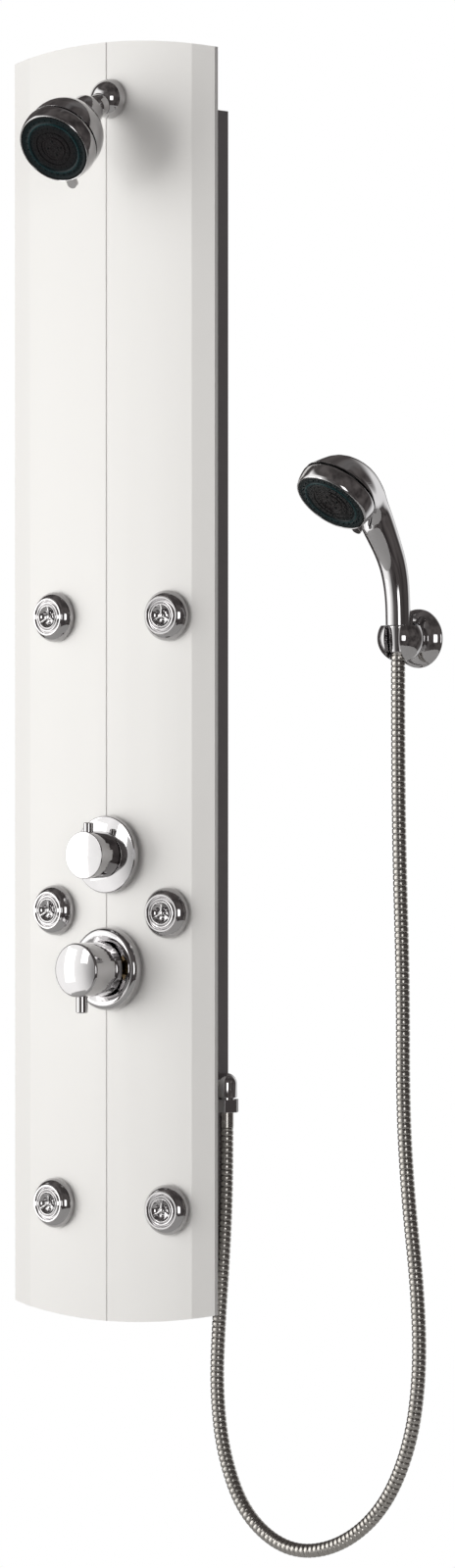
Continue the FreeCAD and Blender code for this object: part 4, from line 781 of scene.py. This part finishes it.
def hose_profile(length):
    """The hose's (distance, radius) rings: a plain end, the ribs and a plain end."""
    outer = HOSE_WIDTH / 2
    bore = HOSE_BORE / 2
    plain = HOSE_END_WIDTH / 2
    pitch = (length - 2 * HOSE_END_ROOM) / HOSE_RIBS
    rings = [(0, bore), (0, plain), (HOSE_END, plain)]
    for rib in range(HOSE_RIBS):
        start = HOSE_END_ROOM + rib * pitch
        rings += [(start + pitch * share, outer * radius) for share, radius in RIB_SHAPE]
    return rings + [(length - HOSE_END, plain), (length, plain), (length, bore)]


def hose_mesh(line, profile):
    """A tube along a line with the profile's rings, each turned from the same steady direction."""
    vertices, faces = [], []
    stations = stations_along(line, [distance for distance, radius in profile])
    for (spot, ahead), (distance, radius) in zip(stations, profile):
        across = TOWARDS_ROOM.cross(ahead).normalized()
        beside = ahead.cross(across)
        for side in range(HOSE_SIDES):
            angle = math.tau * side / HOSE_SIDES
            vertices.append(spot + (across * math.cos(angle) + beside * math.sin(angle)) * radius)
    for near in range(0, len(vertices) - HOSE_SIDES, HOSE_SIDES):
        far = near + HOSE_SIDES
        for side in range(HOSE_SIDES):
            following = (side + 1) % HOSE_SIDES
            faces.append((near + side, near + following, far + following, far + side))
    mesh = bpy.data.meshes.new("ribbed_hose")
    mesh.from_pydata(vertices, [], faces)
    mesh.shade_smooth()
    return mesh


def hose():
    line = route_line()
    profile = hose_profile(lengths_along(line)[-1])
    piece = shown("ribbed_hose", hose_mesh(line, profile), FINISHES["hose"])
    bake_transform(piece)
    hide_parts("hose")


hose()


# ---------------------------------------------------------------- floor and lamps

FLOOR_HEIGHT = -1.95
FLOOR_RADIUS = 2.4
FLOOR_SIDES = 96
LAMP_AIM = Vector((0, 0, -0.5))
LAMP_COLOUR = (1.0, 0.99, 0.975)


def floor():
    turns = [math.tau * step / FLOOR_SIDES for step in range(FLOOR_SIDES)]
    ring = [(FLOOR_RADIUS * math.cos(turn), FLOOR_RADIUS * math.sin(turn), FLOOR_HEIGHT) for turn in turns]
    mesh = bpy.data.meshes.new("floor")
    mesh.from_pydata(ring, [], [range(FLOOR_SIDES)])
    shown("floor", mesh, pale_floor())


def lamp(name, place, width, height, power):
    """A soft upright card of light aimed at the middle of the column."""
    light = bpy.data.lights.new(name, "AREA")
    light.shape = "RECTANGLE"
    light.size = width
    light.size_y = height
    light.energy = power
    light.color = LAMP_COLOUR
    holder = bpy.data.objects.new(name, light)
    bpy.context.scene.collection.objects.link(holder)
    holder.location = place
    holder.rotation_euler = (LAMP_AIM - Vector(place)).to_track_quat("-Z", "Y").to_euler()


floor()
lamp("key_card", (-2.2, -2.2, -0.6), width=1.0, height=2.0, power=7.5)
lamp("fore_card", (-0.9, -2.6, -0.05), width=0.5, height=0.8, power=3.6)


# ---------------------------------------------------------------- surroundings

# Brightness by angle, in degrees: across goes round from straight ahead, with the left minus, and
# upright goes up from level.
CARD_ACROSS = [(-180, 0), (-84, 0), (-74, 1.0), (-36, 1.0), (-24, 0.80), (-8, 0.30), (2, 0.04), (30, 0)]
CARD_UPRIGHT = [(-90, 0), (-44, 0.02), (-36, 1.0), (36, 1.0), (44, 0.02), (90, 0)]
WINDOW_ACROSS = [(-180, 0), (38, 0), (43, 1.0), (54, 1.0), (59, 0), (180, 0)]
WINDOW_UPRIGHT = [(-90, 0), (-13, 0), (-8, 1.0), (9, 1.0), (14, 0), (90, 0)]
BACKDROP_ACROSS = [(-180, 1.0), (-171, 1.0), (-153, 0), (153, 0), (171, 1.0), (180, 1.0)]
BACKDROP_UPRIGHT = [(-90, 0.2), (-36, 0.6), (-14.4, 1.0), (21.6, 1.0), (43.2, 0.1)]
REAR_ACROSS = [(-180, 1.0), (-150, 1.0), (-120, 0), (120, 0), (150, 1.0), (180, 1.0)]
ROOM_STOPS = [(0.35, 0.0), (0.65, 1.0)]

ROOM_TONES = ((0.045, 0.040, 0.040), (0.13, 0.118, 0.115))
CARD_LIGHT = (1.42, 1.415, 1.40)
WINDOW_LIGHT = (3.2, 3.2, 3.2)
REAR_LIGHT = (1.1, 1.1, 1.1)
BACKDROP_WHITE = (1, 1, 1)


def surroundings():
    """A white backdrop, and for polished metal a dim room with a tall card and a small window.

    What is matt also gets a soft light from behind, so that the back isn't dark.
    """
    world = bpy.data.worlds.new("surroundings")
    bpy.context.scene.world = world
    f = Finish(world)
    way = f.node("TexCoord", out="Generated")
    x, y, z = f.split(way)
    azimuth = f.maths("ARCTAN2", x, 0.0 - y) * math.degrees(1)
    rise = f.maths("ARCSINE", z) * math.degrees(1)

    def by_angle(angle, limit, levels):
        """The level at an angle that runs from minus to plus its limit."""
        stops = [(0.5 + 0.5 * degrees / limit, level) for degrees, level in levels]
        return f.ramp((angle + limit) * (0.5 / limit), stops)

    def patch(across, upright):
        return by_angle(azimuth, 180, across) * by_angle(rise, 90, upright)

    kinds = ("Is Camera Ray", "Is Glossy Ray", "Is Transmission Ray", "Is Diffuse Ray")
    camera_ray, glossy_ray, clear_ray, soft_ray = (f.node("LightPath", out=kind) for kind in kinds)
    room = f.mix(f.ramp(f.noise(scale=2.2, detail=2, vector=way), ROOM_STOPS), *ROOM_TONES)
    lit = f.mix(patch(CARD_ACROSS, CARD_UPRIGHT), room, CARD_LIGHT)
    lit = f.mix(patch(WINDOW_ACROSS, WINDOW_UPRIGHT), lit, WINDOW_LIGHT)
    lit = f.mix(by_angle(azimuth, 180, REAR_ACROSS) * soft_ray, lit, REAR_LIGHT)
    backdrop = (glossy_ray + clear_ray) * patch(BACKDROP_ACROSS, BACKDROP_UPRIGHT)
    white = f.maths("ADD", camera_ray, backdrop, clamp=True)
    shade = f.node("Background", {}, {"Color": f.mix(white, lit, BACKDROP_WHITE), "Strength": 1.0})
    f.node("OutputWorld", {}, {"Surface": shade})


surroundings()
